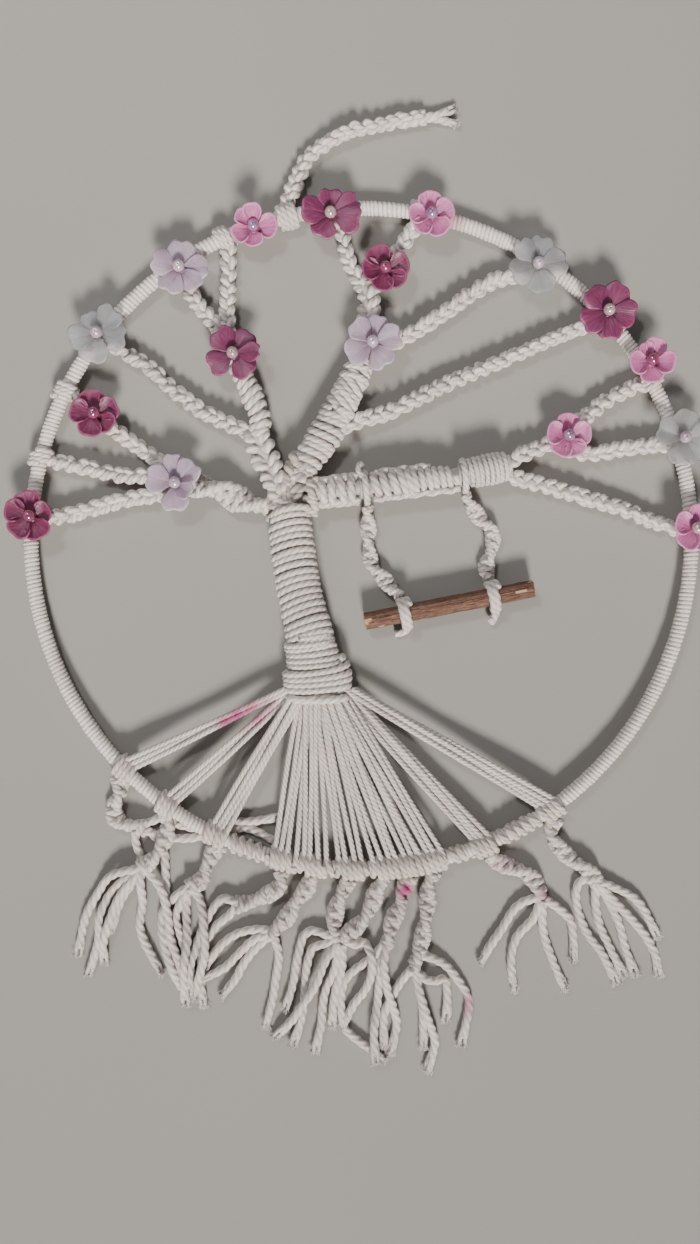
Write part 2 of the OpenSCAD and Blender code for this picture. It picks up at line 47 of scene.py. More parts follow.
LEFT_LOOP, RIGHT_LOOP = 0.0, 44.5
STICK_MID, STICK_ANGLE = np.array([39.7, -30.3, 7.4]), 11.0
STICK_R, STICK_L = 4.2, 78.0
LEFT_STICK, RIGHT_STICK = -20.0, 20.5
BEAD_R, HUB_H, PETAL_T = 2.7, 1.6, 0.5
LOWEST_Z, KNOTS_Z, LOOSE_Z = 0.12, 3.6, 2.2
UP = np.array([0.0, 0.0, 1.0])

# Radii of the drawn cords.
HITCH_CORD_R, STRAND_R, TWIG_CORD_R = 1.45, 1.24, 1.72
TAIL_CORD_R, LOOSE_R, ROPE_CORD_R, STICK_CORD_R = 1.9, 2.05, 1.55, 1.73

# Limbs, ropes and the hanger: rows of x, y, z, half width and half height.
TRUNK = [[-34, 20, 8.6, 7, 5.8], [-32.8, 10, 8.6, 7.8, 5.8], [-30.5, -8, 8.6, 7.9, 5.8],
         [-28, -24, 8.6, 8, 5.8], [-24, -41, 8.6, 8.6, 5.8], [-21, -57, 8.6, 9.6, 5.8],
         [-19, -70, 8.6, 10.6, 5.8], [-18.8, -74, 8.6, 11, 5.2]]
CROTCH = [[-33, 9.5, 8.6, 9.6, 7.8], [-33, 14, 8.6, 10.2, 8], [-32, 20, 8.6, 9.6, 7.6],
          [-31, 27, 8.6, 7, 6.4]]
LEFT_LOW = [[-36, 13, 8, 4.6, 4.6], [-45, 14.5, 7, 4.4, 4.4], [-55, 17.5, 6.6, 5.6, 4.8],
            [-66, 22, 6.2, 6, 4.8], [-77, 24.5, 5.8, 5, 4.4], [-87, 25.5, 5.4, 4.2, 4]]
LEFT_HIGH = [[-33, 18, 8.6, 5, 5], [-38, 26, 8.2, 5.8, 5.4], [-43, 35, 7.8, 6.6, 5.6],
             [-47, 45, 7.4, 6.2, 5.4], [-47, 50, 7.2, 5, 4.8]]
LEFT_TOP = [[-46, 46, 7.2, 4.6, 4.6], [-46, 55, 7, 5.2, 4.8], [-50, 66, 6.6, 5.4, 4.8],
            [-55.5, 77, 6.2, 5, 4.6], [-60, 90, 5.8, 4.6, 4.2], [-61, 94, 5.6, 3.8, 3.8]]
RIGHT_HIGH = [[-31, 22, 8.6, 6, 5.6], [-25, 33, 8.6, 7, 6.2], [-16, 47, 8.4, 8, 6.4],
              [-8, 62, 8, 7.2, 6], [-2, 75, 7.2, 6.6, 5.4], [2, 87, 6.4, 5.2, 4.8]]
RIGHT_TOP = [[2, 85, 6.4, 4.6, 4.6], [3, 96, 6.2, 5.6, 4.8], [3.5, 107, 6, 5.4, 4.6],
             [2.5, 116, 5.6, 4.8, 4.2]]
# Twigs: node, angle of the hitch on the hoop, route.
TWIGS = [
    ["twig_left_low_upper", 153.7,
     [[-81, 26.5, 5.6], [-90, 33.5, 5.2], [-101, 41.5, 4.8], [-120, 55, 4.6]]],
    ["twig_left_low_middle", 165.9,
     [[-84, 26.5, 5.6], [-94, 28.5, 5.2], [-108, 28.5, 4.8], [-124, 32, 4.6]]],
    ["twig_left_low_lower", 176.4,
     [[-84, 23, 5.6], [-92, 19.5, 5.2], [-103, 18.5, 4.8], [-119, 14.5, 4.6], [-134, 10.5, 4.6]]],
    ["twig_left_high_side", 142.3,
     [[-48, 47, 7.4], [-55, 49.5, 6.4], [-73, 58.5, 5], [-87, 69, 4.6], [-96, 77.5, 4.6]]],
    ["twig_left_high_fork", 123.2,
     [[-61, 90, 5.6], [-67, 98, 5], [-73, 105, 4.8], [-78, 113, 4.6]]],
    ["twig_left_high_tip", 114.6,
     [[-60, 92, 5.6], [-61, 104, 5], [-60.5, 117, 4.8], [-60.5, 127, 4.6]]],
    ["twig_right_high_side", 42.5,
     [[-12, 48.5, 8.2], [-3, 52.5, 7], [15, 58.5, 5.4], [35, 68.5, 5], [56, 77.5, 4.8],
      [76, 86, 4.6], [91, 92.5, 4.6]]],
    ["twig_right_high_fork", 57.1,
     [[4, 84, 6.2], [14, 88.5, 5.6], [25, 94.5, 5.2], [36, 101.5, 5], [48, 110, 4.8],
      [60, 117, 4.6]]],
    ["twig_right_top_left", 93.8,
     [[1.5, 113, 5.6], [-4.5, 123, 5], [-7, 131, 4.8], [-8.5, 138, 4.6]]],
    ["twig_right_top_right", 79.8,
     [[4, 112, 5.6], [10.5, 121, 5], [15, 128, 4.8], [19.5, 135, 4.6]]],
    ["twig_right_low_upper", 28.8,
     [[64, 33, 8], [75, 38.5, 6.4], [85, 43, 5.6], [93, 48, 5], [101, 54.5, 4.8],
      [112, 63, 4.6], [122, 68, 4.6]]],
    ["twig_right_low_middle", 17.1,
     [[87, 43, 5.4], [95, 40.5, 5], [105, 38.5, 4.8], [119, 41, 4.6], [132, 42.5, 4.6]]],
    ["twig_right_low_lower", 1.5,
     [[64, 30, 8], [72, 27, 6.2], [82, 24.5, 5.2], [99, 19.5, 4.8], [119, 13.5, 4.6],
      [135, 7, 4.6]]]]
HANGER_ANGLE = 102.9
HANGER = [[-34.5, 150.6, 6, 3.6, 3.6], [-32, 157, 4.6, 4, 3.8], [-29, 164, 4.2, 4, 3.8],
          [-25.5, 172, 4.2, 3.7, 3.6], [-18.5, 178.5, 4.2, 3.7, 3.6], [-11, 183, 4.4, 4.4, 4],
          [-2, 186.5, 4.4, 4.4, 4], [8.5, 188.5, 4.2, 3.3, 3.4], [19, 190.5, 4.2, 3.6, 3.6],
          [29, 192, 4, 3.3, 3.4]]
HANGER_ENDS = [[[27, 192, 3.6], [34, 193.5, 3], [40, 196, 2.4]],
               [[27, 191.5, 3.6], [34, 192, 2.6], [40, 190.5, 2.2]]]
# Root bundles: angle on the hoop, x and z at the foot.
BUNDLES = [[224.4, -29, 9], [234.1, -27, 7], [244, -25, 10], [256.3, -23, 7.5],
           [261.7, -21, 10], [268.1, -19, 7], [274.3, -17, 10], [278.4, -15, 7.5],
           [282.5, -13, 10], [291.7, -11, 7], [304.9, -8.5, 9.5]]
# The tail of each bundle: its knotted part, then its loose ends. A point without a height lies on
# the ground, at KNOTS_Z or at LOOSE_Z.
TAILS = [
    [[[-109.5, -115, 4], [-113, -122], [-111.5, -128], [-105.5, -131], [-98.5, -132]],
     [[-98, -133, 3], [-93, -138], [-90, -144], [-89, -160], [-89.5, -172], [-86, -186], [-83, -198]],
     [[-99, -131, 3], [-92, -128], [-84, -130.5], [-72, -132.5], [-58, -130], [-50, -129.5],
      [-39, -127.5]],
     [[-99, -133, 3], [-90, -136.5], [-80, -137], [-66, -134.5], [-52, -132.5], [-40, -137.5]],
     [[-103, -133, 3], [-103, -140], [-101, -147], [-104, -156], [-110, -166], [-114, -176]]],
    [[[-88.5, -128, 4.6], [-88.5, -134, 5.4], [-91, -141, 5.4], [-96, -147, 5.4], [-100.5, -150, 4.6]],
     [[-100, -150, 4.6], [-109, -156, 5], [-115.5, -163.5, 2.4], [-119.5, -173, 4.4], [-119.5, -184, 4.4],
      [-124, -196]],
     [[-99, -149.5, 4.6], [-108, -151.5, 6], [-115.5, -155, 4], [-121, -163], [-126, -173], [-129, -187]],
     [[-100, -151, 4.6], [-106, -157, 6.2], [-111.5, -165, 6.2], [-115, -175, 6.4], [-117.5, -184, 5.4],
      [-118, -191, 2.6]],
     [[-100.5, -150.5, 4.6], [-100.5, -157, 5], [-100, -166], [-101, -177], [-98, -186], [-93.5, -196]],
     [[-99, -150, 4.6], [-94, -154.5, 5.6], [-90, -161, 6.2], [-87.5, -170.5, 6.2], [-86, -184, 5.6],
      [-81, -198, 5.6]]],
    [[[-67, -142, 4], [-70.5, -150], [-73, -156], [-79, -159]],
     [[-78, -158.5, 3.6], [-84, -162.5, 3], [-91, -171.5, 2.6], [-90, -184, 5], [-86.5, -194, 6],
      [-82, -205, 4]],
     [[-78.5, -159, 3.6], [-82.5, -165.5, 3.4], [-85, -173, 3], [-82, -184, 2.6], [-78.5, -195],
      [-76, -207]],
     [[-78, -158.5, 3.6], [-73.5, -165, 3], [-71.5, -175, 6], [-71, -185, 6.4], [-72.5, -195, 6],
      [-75, -206, 4]],
     [[-79, -159.5, 3.6], [-80, -170, 3], [-79, -182, 5.6], [-80, -194, 8], [-80, -209, 5]]],
    [[[-36, -157, 4], [-42, -162], [-50, -165.5], [-57, -167]],
     [[-56.5, -167.5, 3.6], [-60, -172, 2.6], [-67, -178], [-73, -187], [-73.5, -198], [-72.5, -210]],
     [[-56, -166.5, 3.6], [-63, -164.5, 3], [-68.5, -170, 2.4], [-74, -181], [-77.5, -194, 5.4],
      [-78, -204, 5.6]]],
    [[[-25, -160, 4], [-30, -166], [-34, -173], [-41, -180.5]],
     [[-40.5, -180, 3.6], [-48, -182.5, 3.4], [-55.5, -189.5, 2.6], [-62, -196], [-71, -200.5]],
     [[-40, -179, 3.6], [-47, -178.5, 2.8], [-56, -180.5], [-63, -185], [-70, -193]],
     [[-41, -181, 3.6], [-48, -187, 3], [-54, -194.5], [-57.5, -201], [-62, -206]],
     [[-40, -181, 3.6], [-38, -188.5, 2.4], [-38.5, -198], [-40, -209], [-43, -220]]],
    [[[-8.5, -161.5, 4], [-11.5, -169], [-12, -176], [-10.5, -183, 3.8]],
     [[-10.5, -184, 4], [-12, -196, 2.6], [-16, -206], [-17.5, -214], [-18, -222], [-20, -231]],
     [[-11, -182, 4], [-16, -180.5, 3.6], [-22, -179, 2.4], [-26.5, -182], [-29, -190], [-30.5, -201],
      [-33.5, -212]],
     [[-11, -183, 4], [-17, -185, 3.4], [-22, -187, 2.4], [-25, -195], [-26, -206], [-27, -218],
      [-30, -228]],
     [[-11, -184, 4], [-15.5, -191, 5.4], [-20.5, -202, 6.2], [-26, -211, 6.2], [-31, -218.5, 4.4],
      [-37, -225]]],
    [[[7, -160, 4], [5, -167], [0, -175], [-5, -179.5], [-9.5, -183.5, 4.4]],
     [[-9, -184.5, 4.4], [-9, -196, 2.6], [-12, -208], [-13, -220]],
     [[-7.5, -183, 4.4], [-2.5, -185, 4.4], [1.5, -184.5, 3], [4.5, -190, 6], [4.5, -198, 6.2],
      [1.5, -206, 4.4], [-3, -212.5], [-7, -220]]],
    [[[19.5, -160, 4], [18, -167], [14.5, -174], [13, -180], [11.5, -186]],
     [[11, -185, 3.6], [8.5, -194, 2.4], [8, -203], [7.5, -213], [6, -223, 5], [6.5, -234, 6]],
     [[11.5, -185, 3.6], [10.5, -193, 6.2], [12, -204, 6.2], [14.5, -213, 4], [16.5, -222], [14.5, -232]],
     [[10.5, -185, 3.6], [5, -191.5, 2.4], [-4, -198.5], [-8.5, -205], [-9.5, -213], [-8, -223],
      [-2, -229], [8, -236]]],
    [[[30.4, -160, 4], [30.4, -168], [29, -176], [27.5, -184], [26, -190, 4], [23.5, -195, 4.4]],
     [[24, -196, 4.4], [26.5, -207, 5.6], [29.5, -216.5, 6], [32.5, -225, 4], [33.5, -231, 2.4],
      [31, -240]],
     [[26.5, -190, 4.6], [33, -192, 3.2], [39, -195.5], [45, -202.5], [49, -212], [46.5, -228]],
     [[24, -195, 4.4], [27, -199.5, 4.4], [33, -202, 2.6], [38, -201.5, 2.4], [39.5, -207], [39, -217]],
     [[24.5, -196, 4.4], [27, -207], [28, -217], [28, -229]],
     [[23, -196, 4.4], [18.5, -202.5, 2.4], [14, -210], [10.5, -218], [10.5, -228]]],
    [[[61.5, -147, 4.2], [67.5, -149.5], [74, -152], [79.5, -156.5], [83, -163]],
     [[83, -165, 3.4], [83, -175, 2.6], [84.5, -184], [88, -193], [92, -202]],
     [[82, -164, 3.4], [75, -166, 2.6], [69, -171], [62.5, -181], [56.5, -190]],
     [[82, -165, 3.4], [78.5, -173.5, 2.6], [71.5, -182], [69, -191], [69.5, -203]],
     [[83.5, -164.5, 3.4], [90, -169, 2.6], [95.5, -174.5], [97, -182], [97.5, -189]]],
    [[[86.5, -134.5, 4.2], [91, -141.5], [97, -147], [103, -151], [107.5, -156.5]],
     [[107, -156.5, 3.6], [107, -166, 2.6], [109, -176], [113.5, -186], [118.5, -197]],
     [[106, -153.5, 3.2], [99.5, -157.5, 2.4], [98, -164], [100.5, -174], [104.5, -182], [110, -189.5],
      [115, -200]],
     [[108, -157, 3.6], [113.5, -166.5, 2.4], [118, -176], [120.5, -186], [124, -196]],
     [[108.5, -157, 3.6], [115.5, -165, 3.4], [123, -173.5, 2.6], [130, -181.5], [134, -189], [136, -196]],
     [[107.5, -156, 3.6], [116, -159, 2.8], [124, -163.5], [129.5, -170], [134, -179]]]]
ROPES = {
    "left": [[2.9, 14.8, 8.2, 2.6, 2.6], [3.2, 10, 5, 3.2, 3.2], [3.3, 2, 3.6, 3.3, 3.3],
             [3.6, -6, 3.6, 3.2, 3.2], [5.5, -13, 3.6, 3.2, 3.2], [10.5, -18.5, 3.8, 3.4, 3.4],
             [15, -24, 4.8, 3.4, 3.4], [18.4, -27.2, 7.2, 2.8, 2.8]],
    "right": [[47, 19.9, 8.2, 2.6, 2.6], [49.6, 15.5, 5.6, 3.2, 3.2], [54, 9.5, 3.8, 3.3, 3.3],
              [59.5, 3.5, 3.6, 3.3, 3.3], [59.8, -4, 3.6, 3.2, 3.2], [57.2, -11, 3.6, 3.3, 3.3],
              [57.4, -16.5, 4.6, 3.3, 3.3], [58.4, -19.5, 7.2, 2.8, 2.8]]}
# Flowers by their CAD node: x, y, outer radius, base height, petals, bead. A petal is its
# direction, or its direction, size and lift.
FLOWERS = {
    "flowers_dark_large": [
        [-13.8, 144.4, 13.6, 10.4, [[90, 0.8], 28, -12, [-115, 0.86], 172], "pearl"],
        [110.3, 101.1, 13, 10.4, [62, -8, -85, -150, 135], "pearl"],
        [-57.5, 82, 12.5, 10.2, [50, [0, 1.06, 24], -50, -150, 125], "pearl"]],
    "flowers_dark_small": [
        [10.8, 120.7, 10.7, 8.6, [120, 12, -42, -100, 185], "pink"],
        [-119.9, 55.7, 10.9, 8, [100, 18, -38, -105, 172], "pink"],
        [-147.9, 9.3, 11.4, 10.4, [100, [20, 0.85], -60, -130, 160], "pink"]],
    "flowers_light_small": [
        [-48.4, 139.5, 10.3, 8.4, [0, [-92, 0.9], -150, [150, 0.9, 34], [92, 0.85, 40]], "purple"],
        [31.4, 144.1, 10.2, 10.2, [98, 18, -60, -128, 180], "purple"],
        [129.8, 78.9, 10.2, 10.2, [75, [-18, 1, 28], -90, -168, [115, 0.8]], "pink"],
        [93, 45.7, 10.2, 8.2, [88, 10, -60, -120, 170], "purple"],
        [149.6, 3.9, 10.7, 10.4, [75, 5, -60, -130, 160], "pearl"]],
    "flowers_clear": [
        [78.9, 122, 13.2, 10.2, [80, 8, -78, -158, 132], "purple"],
        [-118, 91.1, 13.2, 10.4, [[118, 0.8], 52, -8, -100, -165], "pink"],
        [144.2, 44.3, 12.7, 10.4, [78, 5, -60, -102, 160], "pink"]],
    "flowers_lilac": [
        [-81.5, 120.7, 12.7, 10, [85, 2, -45, -118, 165], "pearl"],
        [5, 87, 12.7, 10.4, [75, 15, -60, -150, 135], "pearl"],
        [-83.3, 24.3, 13, 9.4, [95, 42, [-40, 0.85, 38], -92, 168], "purple"]]}
# Pink dye on the cords: x, y, radius, strength.
DYE = [[-60, -84, 5, 0.9], [-55, -81.5, 6, 1.0], [-49, -79, 6, 0.9], [-43, -76, 5, 0.5],
       [43, 142.5, 4, 0.5], [20.5, -160, 4, 1.0], [84, -162, 4, 0.45], [64, -148, 4, 0.3],
       [48, -213, 6, 0.6]]


# Routes and their frames.
def unit(v):
    return v / np.maximum(np.linalg.norm(v, axis=-1, keepdims=True), 1e-9)


def on_hoop(r, degrees, z):
    a = math.radians(degrees)
    return [r * math.cos(a), r * math.sin(a), z]


def spline(rows, steps=12):
    p = np.array(rows, float)
    q = np.vstack([p[:1], p, p[-1:]])
    t = np.linspace(0, 1, steps, endpoint=False)[:, None]
    parts = []
    for i in range(len(p) - 1):
        a, b, c, d = q[i:i + 4]
        parts.append((2 * b + (c - a) * t + (2 * a - 5 * b + 4 * c - d) * t ** 2
                      + (3 * b - a - 3 * c + d) * t ** 3) / 2)
    return np.vstack(parts + [p[-1:]])


def lengths(p):
    return np.concatenate([[0], np.cumsum(np.linalg.norm(np.diff(p[:, :3], axis=0), axis=1))])


def even(p, gap):
    s = lengths(p)
    t = np.linspace(0, s[-1], max(3, int(round(s[-1] / gap)) + 1))
    return np.column_stack([np.interp(t, s, p[:, k]) for k in range(p.shape[1])])


def tangents(p):
    return unit(np.gradient(p, axis=0))


def wander(n, gap, seed):
    """Smooth noise between -1 and 1, with a new value every gap samples."""
    rng = np.random.default_rng(seed)
    knots = rng.uniform(-1, 1, int(n / gap) + 3)
    x = np.arange(n) / gap
    i = x.astype(int)
    f = x - i
    f = f * f * (3 - 2 * f)
    return knots[i] * (1 - f) + knots[i + 1] * f


def along_across(degrees):
    """Ways along and across a line that lies on the ground at an angle."""
    a = math.radians(degrees)
    return np.array([math.cos(a), math.sin(a), 0]), np.array([-math.sin(a), math.cos(a), 0])


def rolled(side, up, degrees):
    a = np.radians(degrees)[:, None]
    return side * np.cos(a) + up * np.sin(a), up * np.cos(a) - side * np.sin(a)


def tube_faces(rings, n, closed=False):
    """Quads between rings of n points. A closed tube's last ring joins its first."""
    i = np.arange(rings if closed else rings - 1)[:, None]
    j = (i + 1) % rings
    k, m = np.arange(n), (np.arange(n) + 1) % n
    return np.stack([i * n + k, i * n + m, j * n + m, j * n + k], axis=-1).reshape(-1, 4)


class Guide:
    """Centreline of a limb or rope, with its half width and half height along it."""

    def __init__(self, rows, r=None):
        rows = [list(x) + ([r, r] if r else []) for x in rows]
        self.rows = even(spline(rows, 14), 0.4)
        self.s = lengths(self.rows)
        self.length = self.s[-1]
        t = tangents(self.rows[:, :3])
        side = np.cross(t, UP)
        self.facts = np.hstack([self.rows, unit(side), unit(np.cross(side, t))])

    def at(self, s):
        """Places on the centreline, with the ways to the side and up, and the half sizes."""
        m = np.column_stack([np.interp(s, self.s, column) for column in self.facts.T])
        return m[:, :3], unit(m[:, 5:8]), unit(m[:, 8:]), m[:, 3:4], m[:, 4:5]


def coil(g, s0, s1, pitch, r, slant, phase, seed, loose, grow=0.0, arc=0.0):
    """Cord wound round a guide, whose half width and height are the coil's outside.

    Slant and arc tilt each turn, loose makes the turns uneven, and grow moves them outward.
    """
    turns = (s1 - s0) / pitch
    n = int(turns * 30) + 2
    th = np.linspace(0, 2 * math.pi * turns, n) + phase
    w = wander(n, 30, seed) * loose
    s = (s0 + (s1 - s0) * np.linspace(0, 1, n) + slant * np.cos(th) + arc * np.sin(th)
         + w * pitch * 1.5)
    p, side, up, a, b = g.at(s)
    c, d = np.cos(th)[:, None], np.sin(th)[:, None]
    out = (wander(n, 23, seed + 50) * loose * 3 + grow)[:, None] if loose or grow else 0
    return p + side * (a - r + out) * c + up * (b - r + out) * d, unit(side * c + up * d)


def sennit(g, end, pitch, r, turn=40.0, square=False, phase=0.0, seed=0, bulge=0.16):
    """The two working cords of a chain of half knots, or of square knots, round a core.

    The chain of half knots turns by an angle at each knot. Bulge widens the knots.
    """
    knots = max(2, int(round(end / pitch)))
    n = knots * 14 + 1
    u = np.linspace(0, knots, n)
    i = np.minimum(np.floor(u), knots - 1)
    tau = u - i
    ease = tau - 0.13 * np.sin(2 * math.pi * tau)
    th = np.where(i % 2 == 0, ease, 1 - ease) * math.pi if square else (i + ease) * math.pi
    s = end / knots * (u + 0.11 * np.sin(2 * math.pi * u) + 0.12 * wander(n, 15, seed))
    p, side, up, a, b = g.at(s)
    e1, e2 = rolled(side, up, phase + (0 if square else turn) * u)
    cords = []
    for k in (0, 1):
        c, d = np.cos(th - k * math.pi)[:, None], np.sin(th - k * math.pi)[:, None]
        lump = 1 + bulge * c * c + 0.07 * wander(n, 11, seed + 7 + k)[:, None]
        wide, high = (a - r) * lump, (b - r) * (1.0 if square else 0.8)
        fat = r * (1 + 0.14 * (c * c - 0.5) + 0.05 * wander(n, 9, seed + 17 + k)[:, None])
        cords.append((p + e1 * wide * c + e2 * high * d, unit(e1 * c + e2 * d), fat[:, 0]))
    return cords


def plait(g, period, r, phase=0.0, roll=0.0, seed=0):
    """Three cords plaited flat. Roll turns the plait, in degrees for each millimetre."""
    n = int(g.length / 0.45) + 2
    s = np.linspace(0, g.length, n)
    p, side, up, a, b = g.at(s)
    e1, e2 = rolled(side, up, roll * s)
    cords = []
    for k in range(3):
        u = (2 * math.pi * s / period + 2 * math.pi * k / 3 + phase
             + 0.5 * wander(n, 13, seed + k))[:, None]
        line = p + e1 * (a - r) * np.sin(u) + e2 * (b - r) * 0.7 * np.sin(2 * u)
        fat = r * (1 + 0.1 * np.abs(np.sin(u)) + 0.1 * wander(n, 7, seed + 9 + k)[:, None])
        cords.append((line, unit(e2 + e1 * np.sin(u) * 0.6), fat[:, 0]))
    return cords


class Pile:
    """Points and faces gathered into one mesh, with what its material reads on each point."""

    def __init__(self):
        self.parts, self.n = [], 0

    def put(self, points, facts, shade, quads, tris=()):
        self.parts.append((points, facts, shade, quads + self.n,
                           np.array(tris, int).reshape(-1, 3) + self.n))
        self.n += len(points)

    def whole(self):
        return [np.concatenate(x) for x in zip(*self.parts)]

    def cord(self, line, up, r, n=12, plies=3, depth=0.2, lay=None, dark=0.0, gap=None):
        """Twisted cord of radius r along line, whose section's top points along up."""
        count = len(line)
        up, r = np.broadcast_to(up, (count, 3)), np.broadcast_to(r, count)
        if gap:
            m = even(np.column_stack([line, up, r]), gap)
            line, up, r, count = m[:, :3], m[:, 3:6], m[:, 6], len(m)
        t = tangents(line)
        side = unit(np.cross(t, up))
        top = np.cross(side, t)
        s = lengths(line)
        lay = lay or 6.2 * float(np.mean(r))
        a = 2 * math.pi * np.arange(n) / n
        low = 1 - np.abs(np.cos(plies / 2 * a))
        turn = a + 2 * math.pi * (s / lay)[:, None]
        shape = (r[:, None] * (1 - depth * low))[..., None]
        ring = side[:, None] * np.cos(turn)[..., None] + top[:, None] * np.sin(turn)[..., None]
        body = (line[:, None] + ring * shape).reshape(-1, 3)
        fibre = np.stack(np.broadcast_arrays(s[:, None], np.cos(a) * r[:, None],
                                             np.sin(a) * r[:, None]), axis=-1).reshape(-1, 3)
        # Shade fact: painted shade in the grooves between the plies, plus dark, which darkens the whole
        # cord.
        shade = np.clip(np.tile(low * 0.55, count) + dark, 0, 1)
        k, m, end = np.arange(n), (np.arange(n) + 1) % n, count * n
        tris = np.vstack([np.column_stack([np.full(n, end), m, k]),
                          np.column_stack([np.full(n, end + 1), end - n + k, end - n + m])])
        self.put(np.vstack([body, line[:1], line[-1:]]),
                 np.vstack([fibre, [[0, 0, 0], [s[-1], 0, 0]]]),
                 np.append(shade, [0.05, 0.05]), tube_faces(count, n), tris)

    def cords(self, made, depth=0.13, **how):
        for line, up, r in made:
            self.cord(line, up, r, depth=depth, **how)

    # Cores are given dark: painted shade for the gaps between the cords laid round them.
    def core(self, g, r, **how):
        self.cord(g.rows[:, :3], UP, r, **how)

    def wind(self, g, s0, s1, pitch, r, *turns, grow=0.0, arc=0.0, **how):
        self.cord(*coil(g, s0, s1, pitch, r, *turns, grow, arc), r, **how)

    def build(self, name, *nodes, look=None, body="root"):
        """Cotton piece made from the cords, which stands for the nodes."""
        points, fibre, shade, quads, tris = self.whole()
        points[:, 2] = np.maximum(points[:, 2], LOWEST_Z)
        dye = np.zeros(len(points))
        for x, y, r, strength in DYE:
            d = np.hypot(points[:, 0] - x, points[:, 1] - y) / r
            dye = np.maximum(dye, strength * np.clip(1.4 - d, 0, 1))
        o = solid(name, points, quads, tris, {"fibre": fibre, "shade": shade, "dye": dye},
                  look or COTTON)
        return settle(o, body, "cotton_cord", *nodes)


def settle(o, body, slot, *nodes):
    """Tells the frame what the piece rides on and which nodes it replaces. The slot, its finish, is not
    used.
    """
    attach(o, body)
    if nodes:
        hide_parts(*nodes)
    return o


def solid(name, points, quads, tris, facts, material):
    """Mesh object made from points in millimetres, with named facts on its points."""
    quads, tris = np.array(quads, int).reshape(-1, 4), np.array(tris, int).reshape(-1, 3)
    mesh = bpy.data.meshes.new(name)
    mesh.vertices.add(len(points))
    mesh.vertices.foreach_set("co", (np.array(points, float) * MM).ravel())
    mesh.loops.add(quads.size + tris.size)
    mesh.loops.foreach_set("vertex_index", np.concatenate([quads.ravel(), tris.ravel()]))
    mesh.polygons.add(len(quads) + len(tris))
    starts = np.concatenate([np.arange(len(quads)) * 4, quads.size + np.arange(len(tris)) * 3])
    mesh.polygons.foreach_set("loop_start", starts)
    for key, values in facts.items():
        values = np.array(values, float)
        kind, field = ("FLOAT_VECTOR", "vector") if values.ndim == 2 else ("FLOAT", "value")
        mesh.attributes.new(key, kind, "POINT").data.foreach_set(field, values.ravel())
    mesh.update(calc_edges=True)
    mesh.shade_smooth()
    mesh.materials.append(material)
    return placed(name, mesh)


def placed(name, data):
    o = bpy.data.objects.new(name, data)
    bpy.context.scene.collection.objects.link(o)
    return o


# Materials.
def srgb(code):
    c = [int(code[i:i + 2], 16) / 255 for i in (0, 2, 4)]
    return [x / 12.92 if x <= 0.04045 else ((x + 0.055) / 1.055) ** 2.4 for x in c] + [1.0]


class Nodes:
    """Short names for the nodes of one material."""

    def __init__(self, name):
        self.material = bpy.data.materials.new(name)
        self.material.use_nodes = True
        self.tree = self.material.node_tree
        self.shader = self.tree.nodes["Principled BSDF"]

    def add(self, kind, inputs=(), **facts):
        node = self.tree.nodes.new(kind)
        for key, value in facts.items():
            setattr(node, key, value)
        for key, value in dict(inputs).items():
            self.link(node.inputs[key], value)
        return node

    def link(self, socket, value):
        if isinstance(value, bpy.types.NodeSocket):
            self.tree.links.new(value, socket)
        else:
            socket.default_value = value

    def set(self, **values):
        for key, value in values.items():
            self.link(self.shader.inputs[key.replace("_", " ")], value)

    def fact(self, name, output="Fac"):
        return self.add("ShaderNodeAttribute", attribute_name=name).outputs[output]

    def math(self, operation, a, b=0.0, clamp=False):
        return self.add("ShaderNodeMath", {0: a, 1: b}, operation=operation,
                        use_clamp=clamp).outputs[0]

    def mix(self, factor, a, b):
        return self.add("ShaderNodeMix", {0: factor, 6: a, 7: b}, data_type="RGBA").outputs[2]

    def tint(self, colour, code, mask, strength=1.0):
        """The colour, with another one over it where the mask says."""
        return self.mix(self.math("MULTIPLY", mask, strength), colour, srgb(code))

    def place(self):
        return self.add("ShaderNodeTexCoord").outputs["Object"]

    def scaled(self, vector, scale):
        return self.add("ShaderNodeVectorMath", {0: vector, 1: scale},
                        operation="MULTIPLY").outputs[0]

    def noise(self, vector, scale, detail=2.0, rough=0.5):
        return self.add("ShaderNodeTexNoise", {"Scale": scale, "Detail": detail,
                                               "Roughness": rough, "Vector": vector}).outputs["Fac"]

    def ramp(self, value, low, high):
        return self.add("ShaderNodeMapRange", {"Value": value, "From Min": low,
                                               "From Max": high}).outputs[0]

    def bump(self, height, strength, distance, **normal):
        return self.add("ShaderNodeBump", {"Strength": strength, "Distance": distance,
                                           "Height": height, **normal}).outputs[0]


def cotton(name, pale, deep):
    m = Nodes(name)
    fibre = m.fact("fibre", "Vector")
    streaks = m.noise(m.scaled(fibre, (0.35, 3.2, 3.2)), 1.0, 3.0, 0.6)
    fine = m.noise(m.scaled(fibre, (1.2, 9.0, 9.0)), 1.0, 2.0, 0.6)
    blotch = m.noise(m.place(), 45.0, 3.0)
    # Painted shade: the deep colour goes where the shade fact says. Blotch adds darker patches at random.
    shade = m.math("ADD", m.math("MULTIPLY", m.fact("shade"), 0.95),
                   m.math("MULTIPLY", m.ramp(blotch, 0.42, 0.72), 0.2), True)
    colour = m.mix(shade, srgb(pale), srgb(deep))
    colour = m.tint(colour, "fffdf8", m.ramp(streaks, 0.35, 0.75), 0.35)
    colour = m.tint(colour, "b8407f", m.fact("dye"), m.ramp(streaks, 0.1, 0.5))
    m.set(Base_Color=colour, Roughness=0.86, Sheen_Weight=0.22, Sheen_Roughness=0.45,
          Specular_IOR_Level=0.2, Subsurface_Weight=0.05, Subsurface_Scale=0.0010,
          Subsurface_Radius=(1.0, 0.8, 0.6))
    m.set(Normal=m.bump(fine, 0.5, 0.0002, Normal=m.bump(streaks, 0.9, 0.0006)))
    return m.material


